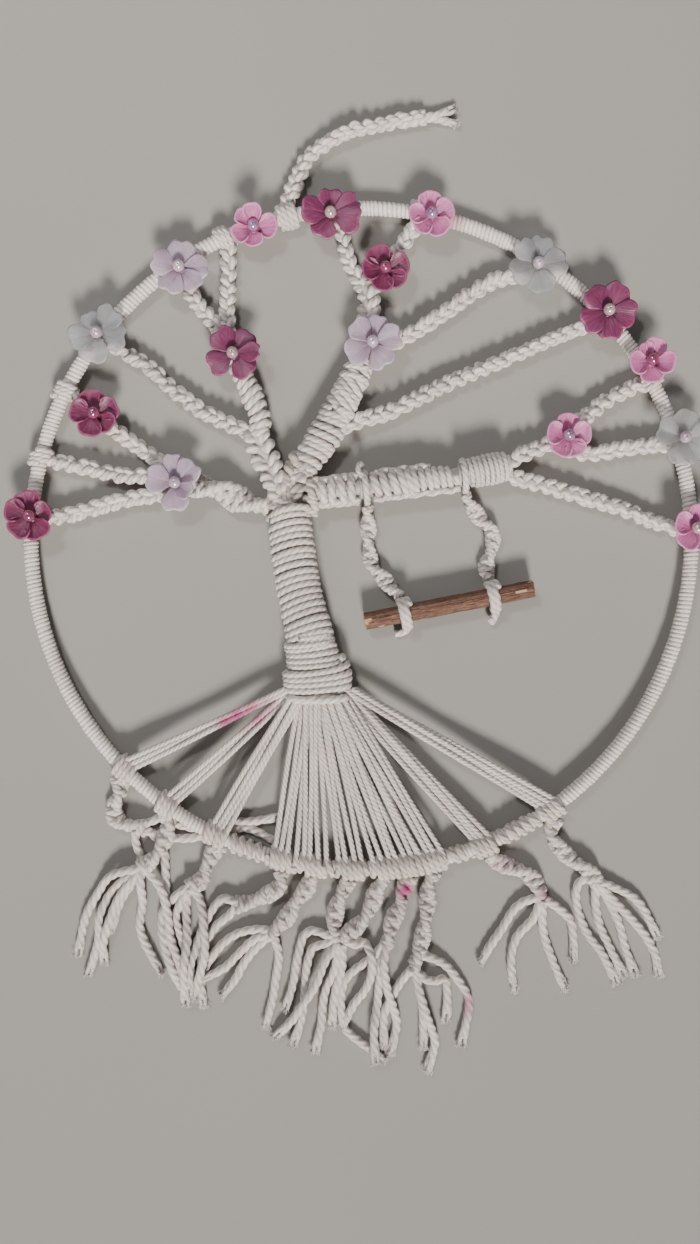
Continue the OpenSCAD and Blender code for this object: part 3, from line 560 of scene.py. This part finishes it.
def petals(name, heart, face, rim, clear, vein=0.5):
    m = Nodes(name)
    out, across, odd = m.add("ShaderNodeSeparateXYZ",
                             {"Vector": m.fact("petal", "Vector")}).outputs
    fan = m.add("ShaderNodeCombineXYZ", {"X": m.math("MULTIPLY", out, 1.6),
                                         "Y": m.math("MULTIPLY", across, 9.0), "Z": odd})
    veins = m.noise(fan.outputs[0], 1.6, 3.0, 0.6)
    cloud = m.noise(m.place(), 160.0, 3.0, 0.6)
    colour = m.mix(m.ramp(out, 0.05, 0.6), srgb(heart), srgb(face))
    colour = m.tint(colour, heart, m.ramp(cloud, 0.35, 0.7), 0.35)
    colour = m.tint(colour, rim, m.ramp(veins, 0.45, 0.7), vein)
    # A lighter band along the rim: partly the denser edge of the petal, partly painted highlight where the
    # edge catches light.
    colour = m.tint(colour, rim, m.ramp(out, 0.88, 1.0), 0.6)
    m.set(Base_Color=colour, Roughness=0.38, IOR=1.47, Transmission_Weight=clear,
          Subsurface_Weight=0.25 * (1 - clear), Subsurface_Scale=0.002,
          Coat_Weight=0.06, Coat_Roughness=0.3, Sheen_Weight=0.04)
    m.set(Normal=m.bump(cloud, 0.25, 0.0003, Normal=m.bump(veins, 0.5, 0.0005)))
    return m.material


def pearl(name, face, deep):
    m = Nodes(name)
    cloud = m.noise(m.place(), 420.0, 3.0, 0.5)
    colour = m.mix(m.ramp(cloud, 0.35, 0.7), srgb(face), srgb(deep))
    colour = m.tint(colour, "b9acb4", m.fact("pale"), 0.75)
    # Painted shade in the bead's hole.
    colour = m.tint(colour, "4a3a36", m.fact("hole"))
    m.set(Base_Color=colour, Roughness=0.2, Specular_IOR_Level=0.9, Coat_Weight=1.0,
          Coat_Roughness=0.05, Coat_IOR=2.3, Thin_Film_Thickness=320.0,
          Normal=m.bump(cloud, 0.12, 0.0001))
    return m.material


def bark():
    m = Nodes("bark")
    grain = m.fact("grain", "Vector")
    long = m.noise(m.scaled(grain, (0.05, 1.1, 1.1)), 1.0, 5.0, 0.65)
    short = m.noise(m.scaled(grain, (0.4, 1.5, 1.5)), 1.0, 4.0, 0.7)
    colour = m.mix(m.ramp(long, 0.3, 0.7), srgb("4d342c"), srgb("8f6a57"))
    crack = m.noise(m.scaled(grain, (0.09, 2.1, 2.1)), 1.0, 3.0, 0.55)
    colour = m.tint(colour, "2c1d19", m.ramp(short, 0.52, 0.7), 0.7)
    colour = m.tint(colour, "1f1411", m.ramp(crack, 0.6, 0.68))
    colour = m.tint(colour, "b99880", m.ramp(short, 0.45, 0.2), 0.5)
    pale = m.mix(m.ramp(long, 0.35, 0.65), srgb("d9bd97"), srgb("a98763"))
    colour = m.mix(m.fact("wood"), colour, pale)
    m.set(Base_Color=colour, Roughness=0.78, Specular_IOR_Level=0.3)
    m.set(Normal=m.bump(short, 0.8, 0.0005,
                        Normal=m.bump(m.math("SUBTRACT", long, crack), 0.9, 0.001)))
    return m.material


COTTON = cotton("cotton", "f4e9e0", "6c564b")
# A darker copy of the cotton, painted shade, for cords that lie in shade: the root hitches, the trunk core
# and the crotch.
COTTON_SHADED = cotton("cotton_shaded", "ecddd1", "5d483d")

# The hoop's steel wire stays as the CAD has it, inside the wrapping.
steel = Nodes("wire")
steel.set(Base_Color=(0.55, 0.55, 0.56, 1), Metallic=1.0, Roughness=0.35,
          Normal=steel.bump(steel.noise(steel.place(), 900.0), 0.2, 0.0001))
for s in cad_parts["hoop_ring"].material_slots:
    s.material = steel.material


# Hoop: one cord wound round and round it, so its surface is a helix of ridges.
def wrapped_hoop():
    turns, per, n, ridge_t = 496, 7, 22, 0.66
    count = turns * per
    step = np.arange(count)
    u = step / per + 0.28 * wander(count, 40, 3) * np.minimum(
        1, (count - step) / 60) * np.minimum(1, step / 60)
    v = np.arange(n) / n
    wound = step[:, None] / per + v[None]
    f = wound % 1
    ridge = np.sqrt(np.clip(1 - (2 * f - 1) ** 2, 0, 1))
    fat = 1 + 0.25 * wander(count, 9, 4)[:, None] * np.minimum(
        1, np.minimum(step, count - step) / 30)[:, None]
    rho = WRAP_R - 0.62 + ridge_t * ridge * fat
    a = (2 * math.pi * u / turns)[:, None]
    b = (2 * math.pi * v)[None]
    big = HOOP_R + rho * np.cos(b)
    points = np.stack([big * np.cos(a), big * np.sin(a), HOOP_Z + rho * np.sin(b)],
                      axis=-1).reshape(-1, 3)
    along = np.floor(wound) * 20 + 20 * v[None]
    fibre = np.stack([along, (f - 0.5) * 2.0, ridge], axis=-1).reshape(-1, 3)
    pile = Pile()
    # Painted shade in the grooves between the turns.
    pile.put(points, fibre, ((1 - ridge) * 0.6).ravel(),
             tube_faces(count, n, closed=True)[:, [0, 3, 2, 1]])
    pile.build("hoop_wrap_cord", "hoop_wrap")


wrapped_hoop()


def hitched(pile, angle, half, turns, r, seed, slant, out):
    """Turns of cord round the hoop, about an angle and as far as half to each side of it."""
    g = Guide([on_hoop(HOOP_R, angle - half + 2 * half * k / 8, HOOP_Z) + [out, out]
               for k in range(9)])
    pile.wind(g, r, g.length - r, (g.length - 2 * r) / turns, r, slant, 0.6 * seed, seed, 0.08,
              depth=0.13)


pile = Pile()
for k, (_, angle, _) in enumerate(TWIGS):
    hitched(pile, angle, 1.7, turns=3.1, r=1.4, seed=k + 1, slant=0.9, out=5.5)
hitched(pile, HANGER_ANGLE, 2.0, turns=3.6, r=HITCH_CORD_R, seed=31, slant=0.9, out=6)
pile.build("twig_hitch_cords", "twig_hitches")

pile = Pile()
for k, (angle, _, _) in enumerate(BUNDLES):
    hitched(pile, angle, 2.3 if k < 2 else 2.5, turns=4.1, r=1.5, seed=k + 40, slant=1.3, out=5.8)
# Between the hitches of the third bundle and the last, a looser cord covers the hoop.
for k in range(2, 10):
    a, b = BUNDLES[k][0] + 2.2, BUNDLES[k + 1][0] - 2.2
    if b > a + 0.4:
        hitched(pile, (a + b) / 2, (b - a) / 2, turns=(b - a) * 0.56, r=HITCH_CORD_R,
                seed=k + 70, slant=1.9, out=4.7 if k < 8 else 4.3)
pile.build("root_hitch_cords", "root_hitches", look=COTTON_SHADED)

# Trunk: a bundle of cords under a tight winding, with a thicker collar at the foot.
trunk = Guide(TRUNK)
cords_in_trunk = 13
pile = Pile()
p, side, up, wide, high = trunk.at(np.linspace(0, trunk.length, 60))
for k in range(cords_in_trunk):
    a = 2 * math.pi * k / cords_in_trunk
    pile.cord(p + side * (wide - 1.9) * math.cos(a) + up * (high - 1.9) * math.sin(a),
              unit(side * math.cos(a) + up * math.sin(a)), 1.85)
pile.core(trunk, trunk.rows[:, 4] - 1.6, n=16, depth=0)
pile.build("trunk_core_cords", "trunk_core", look=COTTON_SHADED)

pile = Pile()
winding_t = 2.35
g = Guide([[x, y, z, a + winding_t, b + winding_t] for x, y, z, a, b in TRUNK[1:6]])
pile.wind(g, 1.6, g.length - 1.4, 3.15, 1.7, 1.5, 0.4, 11, 0.08, arc=-1.5, depth=0.1)
pile.build("trunk_winding", "trunk_wrap")

pile = Pile()
g = Guide([[-24.6, -43.5, 8.6, 11.4, 8.3], [-23.4, -48, 8.6, 11.6, 8.5],
           [-22.1, -53, 8.6, 12, 8.5], [-20.8, -59, 8.6, 13.4, 8.4]])
pile.wind(g, 1, g.length - 1, 2.6, 1.45, -1, 1.2, 12, 0.14, arc=0.8, depth=0.1)
g = Guide([[-20.6, -55.5, 8.6, 14, 8.4], [-20, -59.5, 8.6, 15.5, 8.6],
           [-19.7, -64, 8.6, 16.2, 8.6], [-19.6, -68.5, 8.6, 15.6, 8.4],
           [-19.5, -73.5, 8.6, 15.2, 8]])
pile.wind(g, 1, 15, 2.9, 1.65, 1.3, 2.6, 13, 0.12, arc=1.4, depth=0.1)
pile.wind(g, 1, 15.5, 3.4, 1.9, -1.4, 0.6, 14, 0.12, grow=-2.4, depth=0.12, dark=0.2)
pile.wind(g, 14, 16.8, 2.8, 1.9, 0.5, 2.9, 15, 0.03, arc=1.2, depth=0.12)
pile.build("foot_collar_winding", "foot_collar")

# Limbs.
pile = Pile()
# The crotch lies in shade: its cords are painted darker and use the shaded cotton.
g = Guide(CROTCH)
pile.core(g, g.rows[:, 4] - 2.2, n=20, plies=5, depth=0.12, dark=0.25)
pile.wind(g, 1.4, 6.5, 2.9, 1.6, -1.5, 0.2, 21, 0.12, depth=0.12)
h = Guide([[-33, 12.5, 10, 6.4, 6.2], [-32, 20, 10.4, 6.6, 6.4], [-29.5, 29, 10, 6.2, 6.2],
           [-25.5, 38, 9, 6, 6]])
pile.core(h, 3.6, dark=0.4)
pile.cords(plait(h, 15, 2.1, 1, seed=23), depth=0.17, dark=0.34)
g = Guide([[-24, 10.5, 10, 4.6, 4.6], [-23, 18, 11, 4.6, 4.4], [-22, 25, 10, 4, 4]])
pile.cords(sennit(g, 14, 4.6, 1.75, seed=22), dark=0.1)
pile.cord(spline([[-42, 8, 8], [-37, 11, 15.4], [-31, 12.5, 17], [-25, 13, 15.6],
                  [-22.5, 12.5, 9]], 10), UP, 1.55, gap=0.5)
pile.build("crotch_windings", "crotch_knot", look=COTTON_SHADED)


def limb(rows):
    """Guide and pile of a limb. A core, painted dark as shade, stops light from showing between its cords.
    """
    g, pile = Guide(rows), Pile()
    pile.core(g, np.minimum(g.rows[:, 3], g.rows[:, 4]) * 0.7, depth=0.15, dark=0.3)
    return g, pile


g, pile = limb(LEFT_LOW)
pile.cords(sennit(g, g.length, 4.3, 1.95, 38, seed=24, bulge=0.24))
pile.build("limb_left_low_knots", "limb_left_low")

_, pile = limb(LEFT_HIGH)
g = Guide([[-36, 12.5, 12.4, 3.6, 3.4], [-37, 18.5, 12.2, 4.6, 4.4], [-39.5, 27, 10.6, 6, 5.4],
           [-43, 35, 8.6, 6.8, 5.8], [-46.8, 44, 7.6, 6.6, 5.6], [-47.4, 50, 7.2, 5, 4.8]])
pile.core(g, 3, dark=0.35)
pile.cords(plait(g, 15.5, 2.05, 2, seed=25), depth=0.17)
pile.build("limb_left_high_knots", "limb_left_high")

g, pile = limb(LEFT_TOP)
pile.wind(g, 0.5, g.length * 0.86, 3.7, 1.85, 2.2, 0.3, 26, 0.12, depth=0.13)
pile.build("limb_left_top_winding", "limb_left_top")

g, pile = limb(RIGHT_HIGH)
pile.wind(g, 4, g.length * 0.56, 3.3, 1.75, 1.6, 0.3, 27, 0.16, depth=0.1)
pile.wind(g, g.length * 0.54, g.length - 1, 3.7, 1.9, -2.2, 0.3, 28, 0.2, depth=0.12)
pile.wind(g, g.length * 0.56, g.length - 2, 7.5, 1.5, 2.4, 2, 33, 0.2, grow=0.5, depth=0.12)
pile.build("limb_right_high_winding", "limb_right_high")

g, pile = limb(RIGHT_TOP)
pile.cords(plait(g, 16, 1.95, 1, 1.2, seed=29), depth=0.17)
pile.build("limb_right_top_knots", "limb_right_top")


def limb_at(s, across=0.0, up=0.0):
    """Point of the right low limb: along it, across it and above it."""
    axis, side = along_across(LIMB_ANGLE)
    return list(LIMB_POINT + axis * s + side * across + UP * up)


def limb_guide(s0, s1, radii):
    return Guide([limb_at(s0 + (s1 - s0) * k / (len(radii) - 1)) + [r, r]
                  for k, r in enumerate(radii)])


pile = Pile()
g = limb_guide(-26, -2.3, [5.7, 6.7, 6.9, 6.9])
pile.cords(sennit(g, g.length - 2, 4.6, 2.1, square=True, seed=34, bulge=0.12))
g = limb_guide(2.3, 24, [7.1, 7.1, 6.9, 6.8])
pile.wind(g, 1.9, g.length - 1, 3.9, 1.9, 1.8, 0.6, 35, 0.09, depth=0.13)
g = limb_guide(22, 42.2, [6.7, 6.3, 5.9, 5.7])
pile.wind(g, 0, g.length - 1.6, 3, 1.5, 1, 0.4, 36, 0.09, depth=0.13)
for s0, s1, across, up in ((3.4, 41.5, -5.9, 2.6), (4.5, 30, 6.3, 1.5), (-25, -3.6, -5.6, 2.2),
                           (-25, -3.6, 5.7, 1.8)):
    line = np.array([limb_at(s, across + 0.35 * math.sin(s * 0.8), up + 0.5 * math.cos(s * 1.4))
                     for s in np.linspace(s0, s1, 90)])
    pile.cord(line, UP, HITCH_CORD_R, depth=0.13)
pile.core(limb_guide(-26, 50, [4.9, 4.9, 4.9]), 4.1, n=18, plies=6, depth=0.12, dark=0.3, lay=60)
for s in (LEFT_LOOP, RIGHT_LOOP):
    g = limb_guide(s - 2.6, s + 2.6, [5.1, 5.1])
    pile.wind(g, 0.2, g.length - 0.2, 1.7, 0.85, 0, 0, 37, 0, dark=0.2)
g = limb_guide(46.9, 51, [5.5, 5.5])
pile.wind(g, 1, g.length, 2.4, 1.2, 0, 0, 38, 0.03)
pile.cord(spline([limb_at(-1, 4, 6.9), limb_at(-2.6, 7.5, 6.5), limb_at(-1.6, 10.2, 5),
                  limb_at(-0.5, 10, 2)], 8), UP, 1.3, gap=0.5)
pile.build("limb_right_low_winding", "limb_right_low")

pile = Pile()
g = Guide([list(KNOT_MID + along_across(KNOT_ANGLE)[0] * k) + [r, r]
           for k, r in ((-10, 6.4), (-6, 7.1), (0, 7.3), (6, 7.1), (10, 6.2))])
pile.core(g, 5.2, n=16, plies=5, depth=0.1, dark=0.3)
pile.wind(g, 1.2, g.length - 1.2, 2.25, 1.18, 0.5, 0.5, 39, 0.06)
pile.build("limb_right_knot_whipping", "limb_right_knot")

# Twigs.
for k, (name, angle, route) in enumerate(TWIGS):
    g = Guide(route + [on_hoop(HOOP_R - WRAP_R - 1, angle, 4.6)], 3.85)
    pile = Pile()
    pile.core(g, 1.7, dark=0.35, depth=0.25)
    pile.cords(plait(g, 16 + 0.4 * (k % 4), TWIG_CORD_R, k, 0.7 * (-1) ** k, seed=60 + k),
               depth=0.17)
    pile.build(name + "_knots", name)

# Roots: taut cords from the foot to their hitches on the hoop.
pile = Pile()
for k, (angle, x, z) in enumerate(BUNDLES):
    count = 3 if k < 2 else 4
    for j in range(count):
        f = j - (count - 1) / 2
        a = angle + f * (1.32 if 3 <= k <= 8 else 0.95)
        start = np.array([x * 1.3 + 5.4 + f * 1.7, -68, z + 0.9 * (-1) ** j])
        over = np.array(on_hoop(HOOP_R - 3.6, a, HOOP_Z + 2.6))
        line = np.vstack([start + (over - start) * t for t in np.linspace(0, 1, 40)]
                         + [on_hoop(HOOP_R, a, HOOP_Z + 3.6), on_hoop(HOOP_R + 2, a, HOOP_Z + 3)])
        line[:, 2] += 0.4 * np.sin(np.linspace(0, 9, 42) + j + k)
        line[:, 0] += 0.45 * np.sin(np.linspace(0, 5, 42) + 2 * j + k)
        pile.cord(spline(line, 2), UP, STRAND_R, gap=0.6)
pile.build("root_fan_cords", "root_fan")


def frayed(pile, line, r, seed):
    """The cord opens into its three plies and loose fibres at the line's end."""
    rng = np.random.default_rng(seed)
    t = unit(line[-1] - line[-6])
    side = unit(np.cross(t, UP))
    tip = line[-1]
    for k in range(3):
        a = 2 * math.pi * k / 3 + rng.uniform(0, 2)
        off = side * math.cos(a) + UP * math.sin(a) * 0.8
        out = tip + t * rng.uniform(1.8, 3.8) + off * rng.uniform(0.8, 1.8)
        ply = spline([tip - t * 5 + off * r * 0.35, tip - t * 2 + off * r * 0.6,
                      tip + t * 0.5 + off * r * 0.65, out], 6)
        pile.cord(ply, UP, np.linspace(r * 0.6, r * 0.42, len(ply)), n=8, depth=0.12)
        for _ in range(16):
            way = unit(t + side * rng.uniform(-0.7, 0.7) + UP * rng.uniform(-0.5, 0.5))
            root = ply[-3] + rng.normal(0, 0.32, 3)
            end = root + way * 2.6 + side * rng.uniform(-0.6, 0.6)
            hair = spline([root, root + way * 1.3, end], 3)
            pile.cord(hair, UP, np.linspace(0.26, 0.12, len(hair)), n=4, depth=0)


def lying(route, z):
    return [p + [z] * (3 - len(p)) for p in route]


def loose_end(pile, route, r, seed, tips=None):
    line = even(spline(lying(route, LOOSE_Z)), 0.8)
    n = len(line)
    line[:, 0] += 0.35 * wander(n, 14, seed)
    line[:, 1] += 0.35 * wander(n, 14, seed + 1)
    fat = r * (1 + 0.06 * wander(n, 9, seed + 2)) * (1 - 0.12 * np.clip(
        (np.arange(n) - n + 8) / 8, 0, 1))
    pile.cord(line, UP, fat, n=15, depth=0.24, lay=r * 6.4)
    frayed(tips or pile, line, r, seed + 3)
    return line


for k, tail in enumerate(TAILS):
    angle = BUNDLES[k][0]
    start = on_hoop(HOOP_R + WRAP_R + 1.4, angle, HOOP_Z - 1)
    g = Guide([start] + lying(tail[0], KNOTS_Z), 3.7)
    node = "root_tail_%d" % (k + 1)
    pile = Pile()
    pile.core(g, TAIL_CORD_R, dark=0.3, depth=0.25)
    # The knots of the third to ninth tails are drawn darker than the rest.
    pile.cords(sennit(g, g.length, 5.1, TAIL_CORD_R, 52, phase=70 * k, seed=90 + k, bulge=0.3),
               dark=0.2 if 2 <= k <= 8 else 0.05)
    ends = Pile()
    line = loose_end(pile, tail[1], LOOSE_R, 200 + 10 * k, ends)
    main = pile.build(node + "_cord", node)
    for j, route in enumerate(tail[2:]):
        loose_end(ends, route, LOOSE_R, 400 + 10 * k + j)
    others = ends.build(node + "_ends")

# Hanger.
pile = Pile()
g = Guide(HANGER)
pile.core(g, 1.8, dark=0.35, depth=0.25)
pile.cords(plait(g, 15.5, 1.7, 1, 1.5, seed=120), depth=0.17)
main = pile.build("hanger_cord", "hanger")
ends = Pile()
ends.cord(spline([[-36, 146, 9], [-38.5, 143, 9.5], [-41, 142, 8.5]], 6), UP, 1.2, gap=0.5)
for j, route in enumerate(HANGER_ENDS):
    loose_end(ends, route, 1.9, 600 + 10 * j)
others = ends.build("hanger_ends")


# Swing: loops round the limb's necks, two ropes, loops round the stick, and the stick.
def turned(centre, degrees, s, r, turns, width):
    """Cord wound round an axis that lies level."""
    axis, across = along_across(degrees)
    n = int(60 * turns)
    th = np.linspace(0, 2 * math.pi * turns, n)
    x = s + width * (np.linspace(0, 1, n) - 0.5)
    out = across * np.cos(th)[:, None] + UP * np.sin(th)[:, None]
    return centre + axis * x[:, None] + out * r, out


pile = Pile()
for s in (LEFT_LOOP, RIGHT_LOOP):
    pile.cord(*turned(LIMB_POINT, LIMB_ANGLE, s, NECK_R + LOOP_GAP + LOOP_CORD_R, 1.04, 0.3),
              LOOP_CORD_R - 0.02, depth=0.15)
pile.build("swing_limb_loop_cords", "swing_limb_loops", body="swing_ropes")

pile = Pile()
for s in (LEFT_STICK, RIGHT_STICK):
    pile.cord(*turned(STICK_MID, STICK_ANGLE, s, STICK_R + LOOP_GAP + STICK_CORD_R + 0.02, 2.15,
                      3.8), STICK_CORD_R, depth=0.15)
for route, r in (([[21, -40, 4], [20.5, -42, 2.6], [18, -43, 2.3], [15.5, -43.5, 2.3]], 1.7),
                 ([[61.2, -32.6, 6], [61, -35, 4.2], [60, -37, 3.4], [59.5, -37.6, 4.6]], 1.9)):
    pile.cord(even(spline(route, 10), 0.5), UP, r, depth=0.15)
pile.build("swing_stick_loop_cords", "swing_stick_loops", body="swing_ropes")

for name, rows in ROPES.items():
    g = Guide(rows)
    pile = Pile()
    pile.core(g, 1.8, dark=0.3, depth=0.25)
    pile.cords(sennit(g, g.length, 4.1, ROPE_CORD_R, 55, phase=30, seed=130 + len(name),
                      bulge=0.35))
    main = pile.build("swing_rope_%s_cord" % name, "swing_rope_" + name, body="swing_ropes")


def stick():
    rings, n = 170, 48
    knots = ((-30, 2.4, 1.2, 0.3), (8, 2, 2.2, 0.25), (33, 2.2, 0.6, 0.3))
    axis, across = along_across(STICK_ANGLE)
    points, grain, wood = [], [], []
    for i in range(rings + 3):
        s = -STICK_L / 2 + STICK_L * min(max(i - 1, 0), rings) / rings
        for k in range(n):
            th = 2 * math.pi * k / n
            c, d = math.cos(th), math.sin(th)
            rough = noise.fractal(Vector((s * 0.09, c * 1.9, d * 1.9)), 0.9, 2.1, 4)
            knot = sum(math.exp(-((s - x) / w) ** 2) * max(0, math.cos(th - y)) * h
                       for x, w, y, h in knots)
            r = STICK_R - 0.14 + 0.16 * rough + knot - 0.3 * math.sin(s * 0.02) ** 2
            if min(abs(s - LEFT_STICK), abs(s - RIGHT_STICK)) < 4.6:
                r = min(r, STICK_R - 0.05)
            if i < 2 or i > rings:
                r *= 0.93
            if i == 0 or i == rings + 2:
                r *= 0.02
            end = 0.55 * noise.noise(Vector((c * 2.2 + s, d * 2.2, 3))) if abs(s) > 38.5 else 0
            points.append(STICK_MID + axis * (s + end) + across * c * r + UP * d * r)
            grain.append([s, c * r, d * r])
            bare = abs(s) > 38.7 or noise.noise(Vector((s * 0.12, c * 1.4, d * 1.4 + 9))) > 0.42
            wood.append(1.0 if bare and abs(s) > 30 else 0.0)
    quads = tube_faces(rings + 3, n)[:, [0, 3, 2, 1]]
    settle(solid("bark_stick", points, quads, [], {"grain": grain, "wood": wood}, bark()),
           "swing_stick", "bark", "swing_stick")


stick()

# Flowers.
CLEAR = ("flowers_clear", "flowers_lilac")
LARGE = ("flowers_dark_large",) + CLEAR
# Petals: colours of the heart, the face and the rim, and how clear they are. The rim colour lightens the
# veins and the edge, where it is partly painted highlight.
PETALS = {node: petals(node.replace("flowers", "petal"), *look) for node, look in {
    "flowers_dark_large": ["5f1f45", "742c52", "a3597f", 0.2],
    "flowers_dark_small": ["5d1c3e", "70264a", "a4527a", 0.2],
    "flowers_light_small": ["a34a80", "cf70a6", "f0aed2", 0.25],
    "flowers_clear": ["cdced1", "dcdde0", "ffffff", 0.86],
    "flowers_lilac": ["a68ba4", "ccb2c8", "f8eff6", 0.5, 0.4]}.items()}
PEARLS = {"pearl": pearl("bead_pearl", "bba5a3", "977b79"),
          "pink": pearl("bead_pink", "8f3f60", "642845"),
          "purple": pearl("bead_purple", "9f80a0", "704f72")}


def flower(pile, x, y, radius, z, turns, large, seed):
    """Petals as thin closed shells: t runs outward and j across each one."""
    rng = np.random.default_rng(seed)
    nr, nw = 12, 25
    t = np.linspace(0, 1, nr)[:, None]
    j = np.linspace(-1, 1, nw)[None]
    q = (np.arange(nr - 1)[:, None] * nw + np.arange(nw - 1)).ravel()
    face = np.column_stack([q, q + nw, q + nw + 1, q + 1])
    ring = np.concatenate([np.arange(nw), np.arange(1, nr) * nw + nw - 1,
                           (nr - 1) * nw + np.arange(nw - 2, -1, -1),
                           np.arange(nr - 2, 0, -1) * nw])
    after = np.roll(ring, -1)
    half = nr * nw
    faces = np.vstack([face, face[:, ::-1] + half,
                       np.column_stack([ring, after, after + half, ring + half])])
    ways = [(list(w) + [0])[:3] if isinstance(w, list) else [w, 1.0, 0] for w in turns]
    for k, (turn, grow, lift) in enumerate(ways):
        near = sorted(min(abs(turn - w[0]) % 360, 360 - abs(turn - w[0]) % 360) for w in ways)
        half_turn = min(46, max(31, 0.31 * (near[1] + near[2])))
        size = radius * grow * rng.uniform(0.97, 1.04)
        edge = size * (0.56 + 0.44 * (1 - np.abs(j) ** 3.2) ** 0.7)
        ripple = 0.03 * np.interp(j, np.linspace(-1, 1, 7), rng.uniform(-1, 1, 7))
        notch = rng.uniform(0.02, 0.06) if large else 0.012
        edge = edge * (1 + ripple - notch * np.exp(-(j / 0.2) ** 2)
                       - (0.016 * np.cos(3 * math.pi * j) if large else 0))
        rho = (1.0 + (edge - 1.0) * t) * math.cos(math.radians(lift * 0.7))
        around = math.radians(turn) + j * np.radians(half_turn * (0.86 + 0.14 * t))
        wave = math.sin(rng.uniform(0, 6))
        if large:
            rise = rho * math.tan(math.radians(rng.uniform(6, 19))) - 0.07 * size * t ** 4
            rise = rise + 0.07 * size * t ** 2 * np.sin(3.6 * j + wave * 3)
        else:
            rise = rho * rng.uniform(0.06, 0.16) + size * 0.13 * t ** 3 + size * 0.06 * j ** 2 * t
        rise = (rise + rho * math.tan(math.radians(lift)) * 0.8 + 0.22 * k + 0.45 * j
                - 0.2 * np.exp(-(j / 0.14) ** 2) * (1 - t))
        top = np.stack([x + rho * np.cos(around), y + rho * np.sin(around),
                        z + HUB_H * 0.55 + rise], axis=-1)
        normal = unit(np.cross(np.gradient(top, axis=0), np.gradient(top, axis=1)))
        low = top - normal * PETAL_T
        facts = np.stack(np.broadcast_arrays(t, j, rng.uniform(0, 9)), axis=-1).reshape(-1, 3)
        pile.put(np.vstack([top.reshape(-1, 3), low.reshape(-1, 3)]), np.vstack([facts, facts]),
                 np.zeros(2 * half), faces)


def lathe(profile, centre, n):
    """Points and faces of a turned shape: rows of radius and height."""
    a = 2 * math.pi * np.arange(n) / n
    points = np.array([[centre[0] + r * math.cos(b), centre[1] + r * math.sin(b), centre[2] + h]
                       for r, h in profile for b in a])
    return points, tube_faces(len(profile), n)


hub = [(0.05, 0), (1.6, 0), (2.6, 0.4), (2.8, 1.1), (2.3, 1.6), (1.2, 1.75), (0.05, 1.75)]
beads = {"pearl": [], "pink": [], "purple": []}
for name, group in FLOWERS.items():
    pile = Pile()
    for k, (x, y, radius, z, turns, bead) in enumerate(group):
        flower(pile, x, y, radius, z, turns, name in LARGE, 700 + 20 * len(name) + k)
        points, faces = lathe(hub, (x, y, z), 24)
        pile.put(points, np.tile([0.0, 0.0, 1.0], (len(points), 1)), np.zeros(len(points)), faces)
        beads[bead].append(((x, y, z + HUB_H + BEAD_R), float(name in CLEAR)))
    points, facts, _, quads, tris = pile.whole()
    settle(solid(name + "_petals", points, quads, tris, {"petal": facts}, PETALS[name]),
           "root", name.replace("flowers", "petal"), name)

# A bead is a ball that is a little flat, with a dimple where its hole is.
dimple = [(0.3, 2.5), (0.26, 2.1), (0.02, 2.05)]
bead = [(0.02, -2.6)] + [(BEAD_R * math.sin(a), -BEAD_R * 0.97 * math.cos(a))
                         for a in np.linspace(0.16, math.pi - 0.17, 24)]
# Painted shade in the dimple of the hole.
hole_shade = [0] * len(bead) + [0.3, 0.8, 0.8]
for name, places in beads.items():
    pile = Pile()
    for centre, clear in places:
        points, faces = lathe(bead + dimple, centre, 36)
        pile.put(points, np.full((len(points), 3), clear), np.repeat(hole_shade, 36), faces)
    points, facts, hole, quads, tris = pile.whole()
    settle(solid("beads_" + name + "_pearls", points, quads, tris,
                 {"hole": hole, "pale": facts[:, 0]}, PEARLS[name]),
           "root", "bead_" + name, "beads_" + name)

# Floor, light and camera.
FLOOR_HALF, FLOOR_Z = 9000, -0.05
floor_points = [[x * FLOOR_HALF, y * FLOOR_HALF, FLOOR_Z]
                for x, y in ((-1, -1), (1, -1), (1, 1), (-1, 1))]
ground = Nodes("floor")
ground.set(Base_Color=ground.mix(ground.noise(ground.place(), 3.0), srgb("98958f"), srgb("908d88")),
           Roughness=0.9, Specular_IOR_Level=0.2)
solid("floor", floor_points, [[0, 1, 2, 3]], [], {}, ground.material)

world = bpy.data.worlds.new("world")
world.use_nodes = True
sky = world.node_tree.nodes["Background"].inputs
sky["Color"].default_value = (0.93, 0.95, 1.0, 1)
sky["Strength"].default_value = 0.2
bpy.context.scene.world = world


def lamp(name, kind, place, power, colour, **facts):
    data = bpy.data.lights.new(name, kind)
    data.energy, data.color = power, colour
    for key, value in facts.items():
        setattr(data, key, value)
    o = placed(name, data)
    o.location = place
    o.rotation_euler = (-Vector(place)).to_track_quat("-Z", "Y").to_euler()


lamp("key", "SUN", (0.12, -0.95, 0.75), 6.0, (1.0, 0.96, 0.91), angle=math.radians(13))
lamp("fill", "AREA", (-0.7, 0.6, 0.9), 2.2, (0.93, 0.96, 1.0), shape="DISK", size=0.8)
lamp("glint", "AREA", (-0.26, 0.34, 0.74), 2.2, (1.0, 1.0, 1.0), shape="DISK", size=0.12)

# The camera looks straight down. The long side of its view is VIEW_L metres at the hoop.
CAMERA_H, VIEW_L = 0.44, 0.5654
camera = bpy.data.cameras.new("camera")
camera.lens = camera.sensor_width * (CAMERA_H - HOOP_Z * MM) / VIEW_L
camera.clip_start = 0.01
view = placed("camera", camera)
view.location = (-0.0051, -0.038, CAMERA_H)
bpy.context.scene.camera = view
